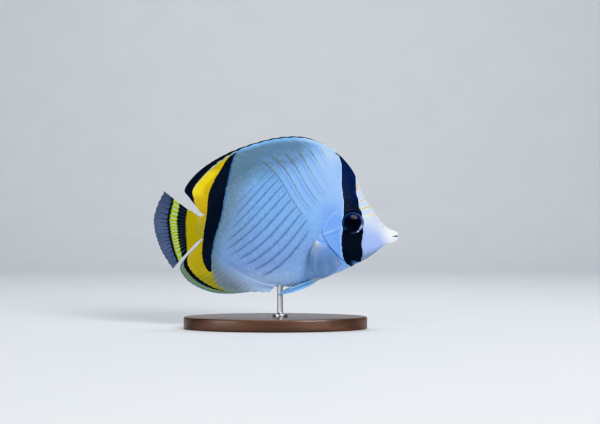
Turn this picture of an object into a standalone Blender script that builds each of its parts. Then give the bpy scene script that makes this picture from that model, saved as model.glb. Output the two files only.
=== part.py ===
# A life-size vagabond butterflyfish held level on a plain display stand.
# The mouth points to +X, the back to +Z and the left flank to +Y. The origin is the centre of the
# stand's underside. Sizes below are millimetres, and places on the fish are given as millimetres
# behind the mouth ("back") and above it ("up"). Meshes are made in metres.

import math

import bmesh
import bpy
import numpy as np
from mathutils import Matrix, Vector

MM = 0.001
GAP = 0.3

# Where the mouth is, and where the flesh of the tail ends
MOUTH_X = 80.0
MOUTH_Z = 60.5
FLESH_START = 0.9
FLESH_END = 133.5
STALK_START = 121.0

# Flesh of the fish, seen from the side and from above: back, up
BACK_LINE = (
    (0.9, 2.3), (2.3, 3.4), (5.2, 4.6), (9.6, 7.8), (15.4, 15.7), (22.7, 26.8), (28.5, 41.0),
    (34.3, 49.2), (40.2, 54.6), (50.0, 57.7), (64.0, 57.6), (83.6, 53.6), (99.9, 45.2),
    (112.3, 34.2), (120.8, 22.0), (126.0, 14.2), (133.5, 12.4),
)
BELLY_LINE = (
    (0.9, -2.3), (2.3, -3.5), (5.8, -5.3), (9.6, -6.9), (15.4, -11.5), (21.5, -15.5), (29.7, -19.7),
    (40.2, -24.5), (49.6, -28.2), (60.7, -31.7), (72.0, -33.1), (81.0, -32.8), (93.4, -29.0),
    (106.4, -22.0), (117.5, -12.4), (125.4, -2.9), (133.5, -1.2),
)
HALF_WIDTH = (
    (0.9, 1.7), (2.3, 2.5), (5.2, 3.3), (9.6, 4.4), (15.4, 6.3), (21.0, 8.0), (29.7, 9.9),
    (40.0, 11.3), (52.0, 12.0), (66.0, 11.7), (84.0, 10.1), (100.0, 7.8), (112.0, 5.8),
    (121.0, 4.3), (128.0, 2.9), (133.5, 1.3),
)
LENS_POWER = 1.2
HEAD_SIDES = 60
TORSO_SIDES = 36
HEAD_STEP = 1.75
TORSO_STEP = 4.6
HEAD_REACH = 51.0
STALK_STEP = 2.5
TORSO_START = 26.0
FIN_REGION_START = 28.0
RING_CROWDING = 1.35

# Rear edge of the gill cover, from the nape down to the throat: back, up
GILL_EDGE = (
    (41.3, 64.0), (40.2, 50.0), (38.4, 36.0), (37.6, 24.0), (39.8, 17.0), (44.4, 12.6),
    (48.0, 7.4), (49.3, 1.6), (47.4, -2.0), (43.6, -7.2), (39.2, -12.4), (34.6, -17.2), (29.0, -27.0),
)
GILL_LIFT = 1.1
GILL_FADE = 8.0
GILL_TOP = 20.0
GILL_TOP_FADE = 7.0
GILL_FOOT = -19.0
GILL_FOOT_FADE = 6.0

# Low ridges of the gill cover and the cheek: back, up, height over the flank
GILL_RIDGE = ((49.0, 0.8, 0.9), (42.5, 3.4, 0.8), (37.6, 6.2, 0.1))
CHEEK_RIDGE = (
    (38.8, 11.0, 0.1), (40.0, 2.0, 0.8), (37.6, -6.0, 1.0), (32.0, -11.2, 0.9), (25.0, -10.6, 0.1),
)
JAW_RIDGE = ((13.5, 3.4, 0.1), (9.0, 1.0, 0.45), (5.6, -1.4, 0.4), (6.6, -4.0, 0.1))
RIDGE_WIDTH = 1.5

# Mouth, nostrils and eyes
LIP_SPREAD = 2.15
LIP_DEPTH = 3.3
LIP_RADIUS = 1.3
LIP_STEPS = 12
LIP_CORNER_SHARE = 0.5
UPPER_LIP = (1.2, 0.4)
LOWER_LIP = (-1.3, -0.8)
MOUTH_CORNER = 3.9
MOUTH_OPENING = 0.5
MOUTH_FLARE = 0.3
MOUTH_CUT_FRONT = -3.0
NOSTRILS = ((10.3, 6.6, 0.5), (9.2, 5.3, 0.38))
NOSTRIL_RIM = 0.3
NOSTRIL_HEIGHT = 0.3
NOSTRIL_DEPTH = 0.9
NOSTRIL_TILT = 41.0
NOSTRIL_SIDES = 10
EYE_PLACE = (29.7, 8.6)
EYE_RADIUS = 7.1
EYE_FRONT = 2.6
EYE_BACK = 4.6
EYE_DEPTH = 1.1
EYE_TURN = 11.0
EYE_SIDES = 26
SOCKET_REACH = 9.0
ORBIT_RADIUS = 0.7
ORBIT_INSET = 0.3
ORBIT_SIDES = 8
SHARP_ANGLE = 48.0

# Fin thickness, as half of it
SHEATH_HALF = 1.45
TAIL_SHEATH_HALF = 1.1
PAIRED_SHEATH_HALF = 0.8
SPINE_HALF = 0.75
RAY_HALF = 0.55
WEB_HALF = 0.25
ROOT_SINK = 2.2
PAIRED_SINK = 1.4
SHEATH_REACH = 0.42
SHEATH_POWER = 1.5
RAY_TAPER = 0.35

# Fins in the middle plane. Rows: root back, tip back, tip up, arch of the ray towards the head
DORSAL_RAYS = (
    (42.6, 44.0, 57.9, 0.1), (51.5, 59.5, 64.3, 0.4), (63.5, 74.5, 64.9, 0.6),
    (77.0, 90.5, 61.8, 0.8), (90.5, 107.5, 56.0, 0.9), (102.0, 121.5, 49.0, 1.0),
    (110.8, 132.6, 40.4, 1.0), (117.3, 139.7, 30.4, 0.7), (122.0, 136.4, 24.6, 0.3),
    (126.2, 130.0, 16.2, 0.0),
)
ANAL_RAYS = (
    (81.2, 84.0, -36.9, 0.0), (88.5, 95.5, -36.7, 0.4), (96.0, 108.5, -37.8, 0.6),
    (103.8, 120.0, -37.2, 0.8), (110.4, 130.2, -33.8, 0.8), (116.0, 138.4, -28.4, 0.6),
    (120.4, 142.6, -20.6, 0.4), (123.8, 138.4, -13.6, 0.2), (127.0, 130.0, -4.9, 0.0),
)
DORSAL_SPINES = 13
DORSAL_SOFT = 22
DORSAL_SPINY_SHARE = 0.6
ANAL_SPINES = 3
ANAL_SOFT = 20
ANAL_SPINY_SHARE = 0.16

# How far the web falls short of the ray tips, as a share of the ray
SOFT_NOTCH = 0.02
DORSAL_SPINE_NOTCH = 0.04
ANAL_SPINE_NOTCH = 0.22

# Tail fin. Rows: root up as a share of the stalk's end, root back, tip back, tip up
TAIL_RAYS = (
    (0.97, 130.6, 153.1, 29.4), (0.88, 131.6, 157.2, 21.2), (0.66, 132.0, 160.0, 12.0),
    (0.46, 132.0, 159.7, 5.8), (0.26, 132.0, 158.4, -0.6), (0.10, 131.6, 156.2, -7.0),
    (0.03, 130.6, 152.8, -13.6), (0.0, 129.6, 147.6, -21.6),
)
TAIL_COUNT = 17
TAIL_SWEEP = 4.0
TAIL_SWEEP_AT_MIDDLE = 0.15
TAIL_ROOT_INSET = 0.6
TAIL_SINK = 1.5

# Breast fins, spread down and forward. Rows: root back, root up, tip back, tip up, arch, flare
PECTORAL_RAYS = (
    (52.2, -1.4, 56.4, -22.0, 6.4, 4.2), (51.1, -1.9, 53.0, -25.4, 4.2, 5.0),
    (50.0, -2.5, 47.6, -25.9, 2.0, 5.4), (49.0, -3.2, 41.6, -22.6, 0.4, 5.2),
    (47.9, -3.9, 36.8, -17.6, 0.0, 4.6),
)
PECTORAL_COUNT = 15
FLARE_AT_MIDDLE = 0.8

# Belly fins, laid back along the keel. Rows: root back, root up, tip back, tip up, arch, flare
PELVIC_RAYS = (
    (49.8, -27.0, 70.6, -36.9, -3.2, 2.4), (50.8, -26.9, 78.6, -38.3, -2.6, 2.8),
    (51.8, -26.8, 75.0, -35.9, -1.6, 3.2), (52.8, -26.7, 69.5, -33.2, -0.6, 3.4),
)
PELVIC_COUNT = 6

# Stand
BASE_LENGTH = 120.0
BASE_DEPTH = 64.0
BASE_HEIGHT = 8.0
BASE_SIDES = 44
BASE_BEVEL = 1.2
ROD_BACK = 77.0
ROD_RADIUS = 1.9
ROD_FOOT_RADIUS = 5.0
ROD_FOOT_HEIGHT = 1.6
ROD_SIDES = 20
ROD_OVERLAP = 3.0
ROD_FOOT_SOFTNESS = 0.5
ROD_FILLET = 0.8

# Colours, roughness and metal share of each sub-part
FLESH_COLOUR = (0.62, 0.72, 0.84)
BAR_COLOUR = (0.02, 0.025, 0.05)
YELLOW_COLOUR = (0.78, 0.6, 0.02)
TAIL_COLOUR = (0.72, 0.66, 0.08)
CLEAR_FIN_COLOUR = (0.5, 0.6, 0.74)
WOOD_COLOUR = (0.06, 0.04, 0.03)
STEEL_COLOUR = (0.6, 0.6, 0.62)


def smooth(keys, at):
    """Row of values at a place on a smooth curve through key rows that start with their place."""
    keys = np.array(keys, float)
    places, values = keys[:, 0], keys[:, 1:]
    slopes = np.gradient(values, places, axis=0)
    i = int(np.clip(np.searchsorted(places, at) - 1, 0, len(places) - 2))
    span = places[i + 1] - places[i]
    t = (at - places[i]) / span
    start = (2 * t**3 - 3 * t**2 + 1) * values[i] + (t**3 - 2 * t**2 + t) * span * slopes[i]
    end = (3 * t**2 - 2 * t**3) * values[i + 1] + (t**3 - t**2) * span * slopes[i + 1]
    return [float(value) for value in start + end]


def numbered(rows):
    """Key rows with their share of the way, from 0 to 1, put in front."""
    return [(i / (len(rows) - 1), *row) for i, row in enumerate(rows)]


def place(back, up, side=0.0):
    """Point in metres from millimetres behind the mouth, above it and to the left."""
    return Vector((MOUTH_X - back, side, MOUTH_Z + up)) * MM


def back_up(back):
    return smooth(BACK_LINE, back)[0]


def belly_up(back):
    return smooth(BELLY_LINE, back)[0]


def flank(back, up):
    """Half width of the flesh at a place on its side."""
    top, bottom = back_up(back), belly_up(back)
    share = (2 * up - top - bottom) / (top - bottom)
    width = smooth(HALF_WIDTH, back)[0]
    return width * max(0.0, 1 - share * share) ** (LENS_POWER / 2)


def gill_edge(offset=0.0, count=34):
    """Points of the gill cover's rear edge, moved back by the offset."""
    keys = numbered(GILL_EDGE)
    points = [Vector(smooth(keys, i / count)) for i in range(count + 1)]
    moved = []
    for i, point in enumerate(points):
        along = (points[min(i + 1, count)] - points[max(i - 1, 0)]).normalized()
        moved.append(point + offset * Vector((-along.y, along.x)))
    return moved


def gill_lift(back, up, edge):
    """How far the gill cover stands out from the flank, fullest at its rear edge."""
    inside = min((Vector((back, up)) - point).length for point in edge)
    behind = back > min(edge, key=lambda point: abs(point.y - up)).x
    fade = 1.0 if behind else math.exp(-((inside / GILL_FADE) ** 2))
    above = np.clip((GILL_TOP - up) / GILL_TOP_FADE, 0, 1)
    below = np.clip((up - GILL_FOOT) / GILL_FOOT_FADE, 0, 1)
    return GILL_LIFT * fade * above * below


def ridge_points(keys, count=24):
    rows = numbered(keys)
    return [smooth(rows, i / count) for i in range(count + 1)]


def head_relief():
    """Function of a place on the head for how far its surface stands out from the plain flesh."""
    edge = gill_edge()
    ridges = [ridge_points(keys) for keys in (GILL_RIDGE, CHEEK_RIDGE, JAW_RIDGE)]

    def relief(back, up):
        out = gill_lift(back, up, edge)
        for points in ridges:
            near = min(points, key=lambda row: math.hypot(row[0] - back, row[1] - up))
            away = math.hypot(near[0] - back, near[1] - up) / RIDGE_WIDTH
            out += near[2] * math.exp(-away * away)
        return out

    return relief


def material(name, colour, roughness=0.45, metallic=0.0):
    made = bpy.data.materials.new(name)
    made.use_nodes = True
    shader = made.node_tree.nodes["Principled BSDF"]
    shader.inputs["Base Color"].default_value = (*colour, 1.0)
    shader.inputs["Roughness"].default_value = roughness
    shader.inputs["Metallic"].default_value = metallic
    return made


def finish(name, mesh, look=None):
    """Object from a bmesh, with its normals out and its round faces smooth."""
    bmesh.ops.recalc_face_normals(mesh, faces=mesh.faces)
    data = bpy.data.meshes.new(name)
    mesh.to_mesh(data)
    mesh.free()
    made = bpy.data.objects.new(name, data)
    bpy.context.scene.collection.objects.link(made)
    if look:
        data.materials.append(look)
    return made


def loft(name, rings, look=None):
    """Closed body through rings of an even count of points, each ring alike on both flanks."""
    mesh = bmesh.new()
    loops = [[mesh.verts.new(point) for point in ring] for ring in rings]
    count = len(loops[0])
    for ring, following in zip(loops, loops[1:]):
        for i in range(count):
            j = (i + 1) % count
            if i < count // 2:
                mesh.faces.new((ring[i], following[i], following[j]))
                mesh.faces.new((ring[i], following[j], ring[j]))
            else:
                mesh.faces.new((ring[i], following[i], ring[j]))
                mesh.faces.new((following[i], following[j], ring[j]))
    for ring in (loops[0], loops[-1]):
        for i in range(count // 2 - 1):
            mesh.faces.new((ring[i], ring[i + 1], ring[count - 2 - i], ring[count - 1 - i]))
    return finish(name, mesh, look)


def combine(body, tools, operation):
    """Joins, cuts or keeps the body by closed tools, which are then removed."""
    group = bpy.data.collections.new("tools")
    for tool in tools:
        group.objects.link(tool)
    change = body.modifiers.new(operation, "BOOLEAN")
    change.operation = operation
    change.operand_type = "COLLECTION"
    change.collection = group
    change.solver = "EXACT"
    bpy.context.view_layer.objects.active = body
    bpy.ops.object.modifier_apply(modifier=change.name)
    bpy.data.collections.remove(group)
    for tool in tools:
        bpy.data.objects.remove(tool)


def keep_largest(body):
    """Drops all but the largest closed surface, and shades the round faces smooth."""
    mesh = bmesh.new()
    mesh.from_mesh(body.data)
    left = set(mesh.verts)
    shells = []
    while left:
        shell = set()
        edge_of = [left.pop()]
        while edge_of:
            vertex = edge_of.pop()
            shell.add(vertex)
            for edge in vertex.link_edges:
                other = edge.other_vert(vertex)
                if other in left:
                    left.remove(other)
                    edge_of.append(other)
        shells.append(shell)
    shells.sort(key=len, reverse=True)
    bmesh.ops.delete(mesh, geom=[v for shell in shells[1:] for v in shell], context="VERTS")
    mesh.to_mesh(body.data)
    mesh.free()
    body.data.shade_smooth()
    body.data.set_sharp_from_angle(angle=math.radians(SHARP_ANGLE))


def flesh(name, start, end, step, sides, grow=0.0, relief=None, look=None):
    """Body of the fish between two places, with any relief raised on its flanks."""
    count = max(2, round((end - start) / step))
    rings = []
    for n in range(count + 1):
        # Rings stand closer towards the mouth, where the shape turns fastest
        crowding = RING_CROWDING if start < STALK_START / 2 else 1.0
        back = start + (end - start) * (n / count) ** crowding
        top, bottom = back_up(back) + grow, belly_up(back) - grow
        width = smooth(HALF_WIDTH, back)[0] + grow
        ring = []
        for i in range(sides):
            turn = math.pi / 2 - 2 * math.pi * (i + 0.5) / sides
            up = (top + bottom) / 2 + (top - bottom) / 2 * math.sin(turn)
            reach = width * abs(math.cos(turn)) ** LENS_POWER
            if relief:
                reach += relief(back, up) * abs(math.cos(turn))
            ring.append(place(back, up, math.copysign(reach, -math.cos(turn))))
        rings.append(ring)
    return loft(name, rings, look)


def prism(name, outline, half_depth=40.0):
    """Block with a given outline of (back, up) points, right through the fish."""
    mesh = bmesh.new()
    face = mesh.faces.new([mesh.verts.new(place(x, z, -half_depth)) for x, z in outline])
    pushed = bmesh.ops.extrude_face_region(mesh, geom=[face])["geom"]
    moved = [part for part in pushed if isinstance(part, bmesh.types.BMVert)]
    bmesh.ops.translate(mesh, verts=moved, vec=(0, 2 * half_depth * MM, 0))
    return finish(name, mesh)


def tube(name, points, radii, sides=12):
    """Round bar through points in metres, with a radius in millimetres at each."""
    rings = []
    for i, point in enumerate(points):
        along = (points[min(i + 1, len(points) - 1)] - points[max(i - 1, 0)]).normalized()
        across = along.cross(Vector((0, 0, 1))).normalized()
        over = across.cross(along)
        turns = [2 * math.pi * (k + 0.5) / sides for k in range(sides)]
        rings.append([
            point + radii[i] * MM * (math.sin(t) * across + math.cos(t) * over) for t in turns
        ])
    return loft(name, rings)


def lip(name, heights, radius):
    """Rounded lip from one corner of the mouth round the tip to the other."""
    points, radii = [], []
    for i in range(LIP_STEPS + 1):
        turn = math.radians(-90 + 180 * i / LIP_STEPS)
        front = math.cos(turn)
        back = radius + LIP_DEPTH * (1 - front)
        up = heights[1] + (heights[0] - heights[1]) * front
        points.append(place(back, up, LIP_SPREAD * math.sin(turn)))
        radii.append(radius * (LIP_CORNER_SHARE + (1 - LIP_CORNER_SHARE) * front))
    return tube(name, points, radii)


def turned(name, profile, sides, centre, axis, look=None):
    """Solid of revolution from (radius, height) points, in millimetres, about an axis."""
    mesh = bmesh.new()
    line = [mesh.verts.new((radius * MM, 0, height * MM)) for radius, height in profile]
    edges = [mesh.edges.new(pair) for pair in zip(line, line[1:])]
    bmesh.ops.spin(
        mesh, geom=line + edges, axis=(0, 0, 1), cent=(0, 0, 0), steps=sides,
        angle=2 * math.pi, use_merge=True,
    )
    bmesh.ops.remove_doubles(mesh, verts=mesh.verts, dist=1e-6)
    turn = Vector((0, 0, 1)).rotation_difference(axis).to_matrix().to_4x4()
    bmesh.ops.transform(mesh, verts=mesh.verts, matrix=Matrix.Translation(centre) @ turn)
    return finish(name, mesh, look)


def eye_axis(side):
    """Direction in which an eye looks, turned a little towards the mouth."""
    turn = math.radians(EYE_TURN)
    return Vector((math.sin(turn), side * math.cos(turn), 0))


def eye_centre(side):
    back, up = EYE_PLACE
    return place(back, up, side * (flank(back, up) - EYE_DEPTH))


def eye_profile(radius, front, back, count=6):
    """Half section of an eyeball from its back pole to its front pole."""
    turns = [math.radians(-90 + 90 * i / count) for i in range(count)]
    rear = [(radius * math.cos(t), back * math.sin(t)) for t in turns]
    turns = [math.radians(90 * i / count) for i in range(count + 1)]
    return rear + [(radius * math.cos(t), front * math.sin(t)) for t in turns]


def make_eye(name, side, look):
    profile = eye_profile(EYE_RADIUS, EYE_FRONT, EYE_BACK)
    eye = turned(name, profile, EYE_SIDES, eye_centre(side), eye_axis(side), look)
    keep_largest(eye)


def eye_socket(side):
    """Cutter for an eye's seat, open outwards."""
    wide = EYE_RADIUS + GAP
    rear = [point for point in eye_profile(wide, 1, EYE_BACK + GAP) if point[1] < 0]
    profile = rear + [(wide, 0), (wide, SOCKET_REACH), (0, SOCKET_REACH)]
    return turned("socket", profile, EYE_SIDES, eye_centre(side), eye_axis(side))


def orbit_rim(side):
    """Low rounded ring of bone round an eye."""
    around = EYE_RADIUS + GAP + ORBIT_INSET
    height = EYE_DEPTH - ORBIT_INSET
    profile = [
        (around + ORBIT_RADIUS * math.cos(turn), height + ORBIT_RADIUS * math.sin(turn))
        for turn in (2 * math.pi * k / ORBIT_SIDES for k in range(ORBIT_SIDES + 1))
    ]
    return turned("orbit", profile, EYE_SIDES, eye_centre(side), eye_axis(side))


def nostril(back, up, radius, side, low, high):
    """Short bar square to the flank at a nostril: its raised rim, or the cutter of its hole."""
    tilt = math.radians(NOSTRIL_TILT)
    axis = Vector((0, side * math.cos(tilt), math.sin(tilt)))
    centre = place(back, up, side * flank(back, up))
    profile = [(0, low), (radius, low), (radius, high), (0, high)]
    return turned("nostril", profile, NOSTRIL_SIDES, centre, axis)


def make_head(look):
    head = flesh(
        "head", FLESH_START, HEAD_REACH, HEAD_STEP, HEAD_SIDES, relief=head_relief(), look=look,
    )
    joined = [
        lip("upper_lip", UPPER_LIP, LIP_RADIUS),
        lip("lower_lip", LOWER_LIP, LIP_RADIUS),
    ]
    half = MOUTH_OPENING / 2
    wide = half + MOUTH_FLARE
    slit = [
        (MOUTH_CUT_FRONT, wide), (0.4, half), (MOUTH_CORNER, -0.2), (0.4, -half),
        (MOUTH_CUT_FRONT, -wide),
    ]
    cutters = [prism("mouth", slit, 6.0)]
    for side in (-1, 1):
        joined.append(orbit_rim(side))
        cutters.append(eye_socket(side))
        for back, up, radius in NOSTRILS:
            rim = radius + NOSTRIL_RIM
            joined.append(nostril(back, up, rim, side, -2 * NOSTRIL_HEIGHT, NOSTRIL_HEIGHT))
            cutters.append(nostril(back, up, radius, side, -NOSTRIL_DEPTH, NOSTRIL_DEPTH))
    combine(head, joined, "UNION")
    outline = [tuple(point) for point in gill_edge()] + [(-12.0, -27.0), (-12.0, 64.0)]
    combine(head, [prism("head_block", outline)], "INTERSECT")
    combine(head, cutters, "DIFFERENCE")
    keep_largest(head)


def make_torso(look):
    torso = flesh("torso", TORSO_START, STALK_START - GAP, TORSO_STEP, TORSO_SIDES, look=look)
    edge = [tuple(point) for point in gill_edge(GAP)]
    outline = edge + [(20.0, -40.0), (20.0, 64.0)]
    combine(torso, [prism("head_side", outline)], "DIFFERENCE")
    keep_largest(torso)


def make_stalk(look):
    stalk = flesh("tail_stalk", STALK_START, FLESH_END, STALK_STEP, TORSO_SIDES, look=look)
    keep_largest(stalk)


def clearance():
    """The whole flesh, larger by the gap, for cutting what grows from it."""
    end = FLESH_END + GAP
    return flesh("clearance", FIN_REGION_START, end, TORSO_STEP, TORSO_SIDES, grow=GAP)


def ray_columns(spines, soft, spiny_share, spine_notch):
    """Rays and webs by turns across a fin: place from 0 to 1, half thickness, length share."""
    rays = [spiny_share * i / max(spines, 1) for i in range(spines)]
    rays += [spiny_share + (1 - spiny_share) * i / (soft - 1) for i in range(soft)]
    columns = []
    for i, at in enumerate(rays):
        columns.append((at, SPINE_HALF if i < spines else RAY_HALF, 1.0))
        if i + 1 < len(rays):
            notch = spine_notch if i < spines else SOFT_NOTCH
            columns.append(((at + rays[i + 1]) / 2, WEB_HALF, 1 - notch))
    return columns


def fin(name, columns, ray_at, rows, sheath, look):
    """Thin fin whose rays are ridges on its web. ray_at gives a ray's root, middle and tip."""
    middles = []
    for at, _, reach in columns:
        root, waist, tip = ray_at(at)
        shares = [reach * j / rows for j in range(rows + 1)]
        middles.append([
            (1 - v) ** 2 * root + 2 * v * (1 - v) * waist + v * v * tip for v in shares
        ])
    rings = []
    last = len(middles) - 1
    for k, (_, half, _) in enumerate(columns):
        front, rear = [], []
        for j, point in enumerate(middles[k]):
            along = middles[k][min(j + 1, rows)] - middles[k][max(j - 1, 0)]
            across = middles[min(k + 1, last)][j] - middles[max(k - 1, 0)][j]
            out = along.cross(across).normalized()
            v = j / rows
            slim = half * (1 - RAY_TAPER * v) if half != WEB_HALF else half
            thick = slim + (sheath - slim) * max(0.0, 1 - v / SHEATH_REACH) ** SHEATH_POWER
            front.append(point + out * thick * MM)
            rear.append(point - out * thick * MM)
        rings.append(front + rear[::-1])
    made = loft(name, rings, look)
    combine(made, [clearance()], "DIFFERENCE")
    keep_largest(made)


def bowed(root, tip, arch):
    """Middle of a ray seen from the side, moved square to it by the arch."""
    along = (tip - root).normalized()
    return (root + tip) / 2 + arch * Vector((-along.y, along.x))


def median_ray(rows, contour, turn):
    """Ray of a fin in the middle plane, from its contour of the flesh to the fin's edge."""
    keys = numbered(rows)

    def ray_at(at):
        root_back, tip_back, tip_up, arch = smooth(keys, at)
        root = Vector((root_back, contour(root_back)))
        tip = Vector((tip_back, tip_up))
        root -= (tip - root).normalized() * ROOT_SINK
        return place(*root), place(*bowed(root, tip, turn * 2 * arch)), place(*tip)

    return ray_at


def tail_ray(at):
    share, root_back, tip_back, tip_up = smooth(numbered(TAIL_RAYS), at)
    top, bottom = back_up(FLESH_END), belly_up(FLESH_END)
    root_up = bottom + TAIL_ROOT_INSET + (top - bottom - 2 * TAIL_ROOT_INSET) * share
    middle = ((root_back + tip_back) / 2, (root_up + tip_up) / 2)
    return (
        place(root_back - TAIL_SINK, root_up),
        place(*middle, TAIL_SWEEP_AT_MIDDLE * TAIL_SWEEP),
        place(tip_back, tip_up, TAIL_SWEEP),
    )


def paired_ray(rows, side, sink):
    """Ray of a fin on the flank, rooted in the flesh and flared outwards."""
    keys = numbered(rows)

    def ray_at(at):
        root_back, root_up, tip_back, tip_up, arch, flare = smooth(keys, at)
        reach = flank(root_back, root_up)
        middle = bowed(Vector((root_back, root_up)), Vector((tip_back, tip_up)), arch)
        return (
            place(root_back, root_up, side * (reach - sink)),
            place(*middle, side * (reach + FLARE_AT_MIDDLE * flare)),
            place(tip_back, tip_up, side * (reach + flare)),
        )

    return ray_at


def make_fins(yellow, tail_look, clear):
    columns = ray_columns(DORSAL_SPINES, DORSAL_SOFT, DORSAL_SPINY_SHARE, DORSAL_SPINE_NOTCH)
    fin("dorsal_fin", columns, median_ray(DORSAL_RAYS, back_up, 1), 5, SHEATH_HALF, yellow)
    columns = ray_columns(ANAL_SPINES, ANAL_SOFT, ANAL_SPINY_SHARE, ANAL_SPINE_NOTCH)
    fin("anal_fin", columns, median_ray(ANAL_RAYS, belly_up, -1), 5, SHEATH_HALF, yellow)
    fin("tail_fin", ray_columns(0, TAIL_COUNT, 0.0, 0.0), tail_ray, 6, TAIL_SHEATH_HALF, tail_look)
    pectoral_columns = ray_columns(0, PECTORAL_COUNT, 0.0, 0.0)
    pelvic_columns = ray_columns(1, PELVIC_COUNT - 1, 1 / (PELVIC_COUNT - 1), SOFT_NOTCH)
    for word, side in (("left", 1), ("right", -1)):
        ray = paired_ray(PECTORAL_RAYS, side, PAIRED_SINK)
        fin("pectoral_fin_" + word, pectoral_columns, ray, 5, PAIRED_SHEATH_HALF, clear)
        ray = paired_ray(PELVIC_RAYS, side, PAIRED_SINK)
        fin("pelvic_fin_" + word, pelvic_columns, ray, 6, PAIRED_SHEATH_HALF, clear)


def make_base(look):
    """Oval plate with softened edges."""
    mesh = bmesh.new()
    bmesh.ops.create_circle(mesh, cap_ends=True, radius=0.5, segments=BASE_SIDES)
    bmesh.ops.scale(mesh, vec=(BASE_LENGTH * MM, BASE_DEPTH * MM, 1), verts=mesh.verts)
    pushed = bmesh.ops.extrude_face_region(mesh, geom=list(mesh.faces))["geom"]
    moved = [part for part in pushed if isinstance(part, bmesh.types.BMVert)]
    bmesh.ops.translate(mesh, verts=moved, vec=(0, 0, BASE_HEIGHT * MM))
    rims = [edge for edge in mesh.edges if abs(edge.verts[0].co.z - edge.verts[1].co.z) < 1e-9]
    bmesh.ops.bevel(
        mesh, geom=rims, offset=BASE_BEVEL * MM, affect="EDGES", segments=2, profile=0.5, material=-1,
    )
    base = finish("stand_base", mesh, look)
    keep_largest(base)


def make_rod(look):
    """Short rod on a round foot, its top cut to the belly that it carries."""
    foot = BASE_HEIGHT + GAP
    rim = foot + ROD_FOOT_HEIGHT
    top = MOUTH_Z + belly_up(ROD_BACK) + ROD_OVERLAP
    profile = [
        (0, foot), (ROD_FOOT_RADIUS, foot), (ROD_FOOT_RADIUS, rim - ROD_FOOT_SOFTNESS),
        (ROD_FOOT_RADIUS - ROD_FOOT_SOFTNESS, rim), (ROD_RADIUS + ROD_FILLET, rim),
        (ROD_RADIUS, rim + ROD_FILLET), (ROD_RADIUS, top), (0, top),
    ]
    centre = Vector((MOUTH_X - ROD_BACK, 0, 0)) * MM
    rod = turned("stand_rod", profile, ROD_SIDES, centre, Vector((0, 0, 1)), look)
    combine(rod, [clearance()], "DIFFERENCE")
    keep_largest(rod)


def main():
    for old in list(bpy.data.objects):
        bpy.data.objects.remove(old)
    skin = material("skin", FLESH_COLOUR)
    make_head(skin)
    make_torso(skin)
    make_stalk(material("stalk", YELLOW_COLOUR))
    eye_look = material("eye", BAR_COLOUR, 0.1)
    make_eye("eye_left", 1, eye_look)
    make_eye("eye_right", -1, eye_look)
    make_fins(
        material("yellow_fin", YELLOW_COLOUR),
        material("tail_fin", TAIL_COLOUR),
        material("clear_fin", CLEAR_FIN_COLOUR),
    )
    make_base(material("stand_wood", WOOD_COLOUR, 0.35))
    make_rod(material("stand_steel", STEEL_COLOUR, 0.25, 1.0))


main()
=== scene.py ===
import math

import bmesh
import bpy
import numpy as np
from mathutils import Matrix, Vector
from mathutils.bvhtree import BVHTree


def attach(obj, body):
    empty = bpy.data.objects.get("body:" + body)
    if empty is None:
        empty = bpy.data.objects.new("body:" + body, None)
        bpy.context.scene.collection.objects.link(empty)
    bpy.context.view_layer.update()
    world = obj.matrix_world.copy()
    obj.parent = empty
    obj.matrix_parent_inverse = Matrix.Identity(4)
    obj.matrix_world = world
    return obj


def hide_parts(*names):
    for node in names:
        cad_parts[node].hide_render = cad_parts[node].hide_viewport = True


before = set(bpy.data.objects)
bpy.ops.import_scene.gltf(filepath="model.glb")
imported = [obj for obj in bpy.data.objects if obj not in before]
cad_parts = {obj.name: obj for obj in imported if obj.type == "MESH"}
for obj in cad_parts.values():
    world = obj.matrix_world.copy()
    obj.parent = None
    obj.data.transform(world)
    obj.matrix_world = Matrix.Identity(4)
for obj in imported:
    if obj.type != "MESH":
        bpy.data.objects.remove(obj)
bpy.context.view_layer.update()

# Sizes are in millimetres. "back" is how far a place lies behind the mouth, and "up" how far above it.
mm = 0.001
bothSides = (("Right", -1), ("Left", 1))
rng = np.random.default_rng(21)
scene = bpy.context.scene


def mathsNode(operation, turn=1):
    # a method that adds a Math node with the socket and the other values, in turn or the other way round
    def run(sock, *others):
        values = (sock, *others)[::turn]
        return sock.look.add("ShaderNodeMath", {"operation": operation}, dict(enumerate(values)))
    return run


# Shader maths: a Sock wraps a socket, so that 1 - mask or a * b adds the Math nodes
class Sock:
    __add__, __radd__ = mathsNode("ADD"), mathsNode("ADD", -1)
    __sub__, __rsub__ = mathsNode("SUBTRACT"), mathsNode("SUBTRACT", -1)
    __mul__, __rmul__ = mathsNode("MULTIPLY"), mathsNode("MULTIPLY", -1)
    __truediv__, __abs__ = mathsNode("DIVIDE"), mathsNode("ABSOLUTE")
    most, least, nearest = mathsNode("MAXIMUM"), mathsNode("MINIMUM"), mathsNode("ROUND")
    root, sine = mathsNode("SQRT"), mathsNode("SINE")

    def __init__(self, look, socket):
        self.look, self.socket = look, socket

    def out(self, name):
        return Sock(self.look, self.socket.node.outputs[name])

    def step(self, low, high):
        # a smooth rise from 0 at low to 1 at high
        sockets = {0: self, 1: low, 2: high}
        return self.look.add("ShaderNodeMapRange", {"interpolation_type": "SMOOTHSTEP"}, sockets)

    def band(self, low, high, soft):
        return self.step(low - soft, low + soft) * self.step(high + soft, high - soft)

    def pulse(self, half, soft):
        # 1 on the whole numbers of a field, over a share of its spacing
        return abs(self - self.nearest()).step(half + soft, half)

    def follow(self, keys):
        # value of a smooth curve through keys
        xs, ys = zip(*keys)
        start, span, low, high = xs[0], xs[-1] - xs[0], min(ys), max(ys)
        curve = [((x - start) / span, (y - low) / (high - low)) for x, y in keys]
        share = ((self - start) / span).most(0).least(1)
        return self.look.add("ShaderNodeFloatCurve", {"curve": curve}, {1: share}) * (high - low) + low


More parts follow.
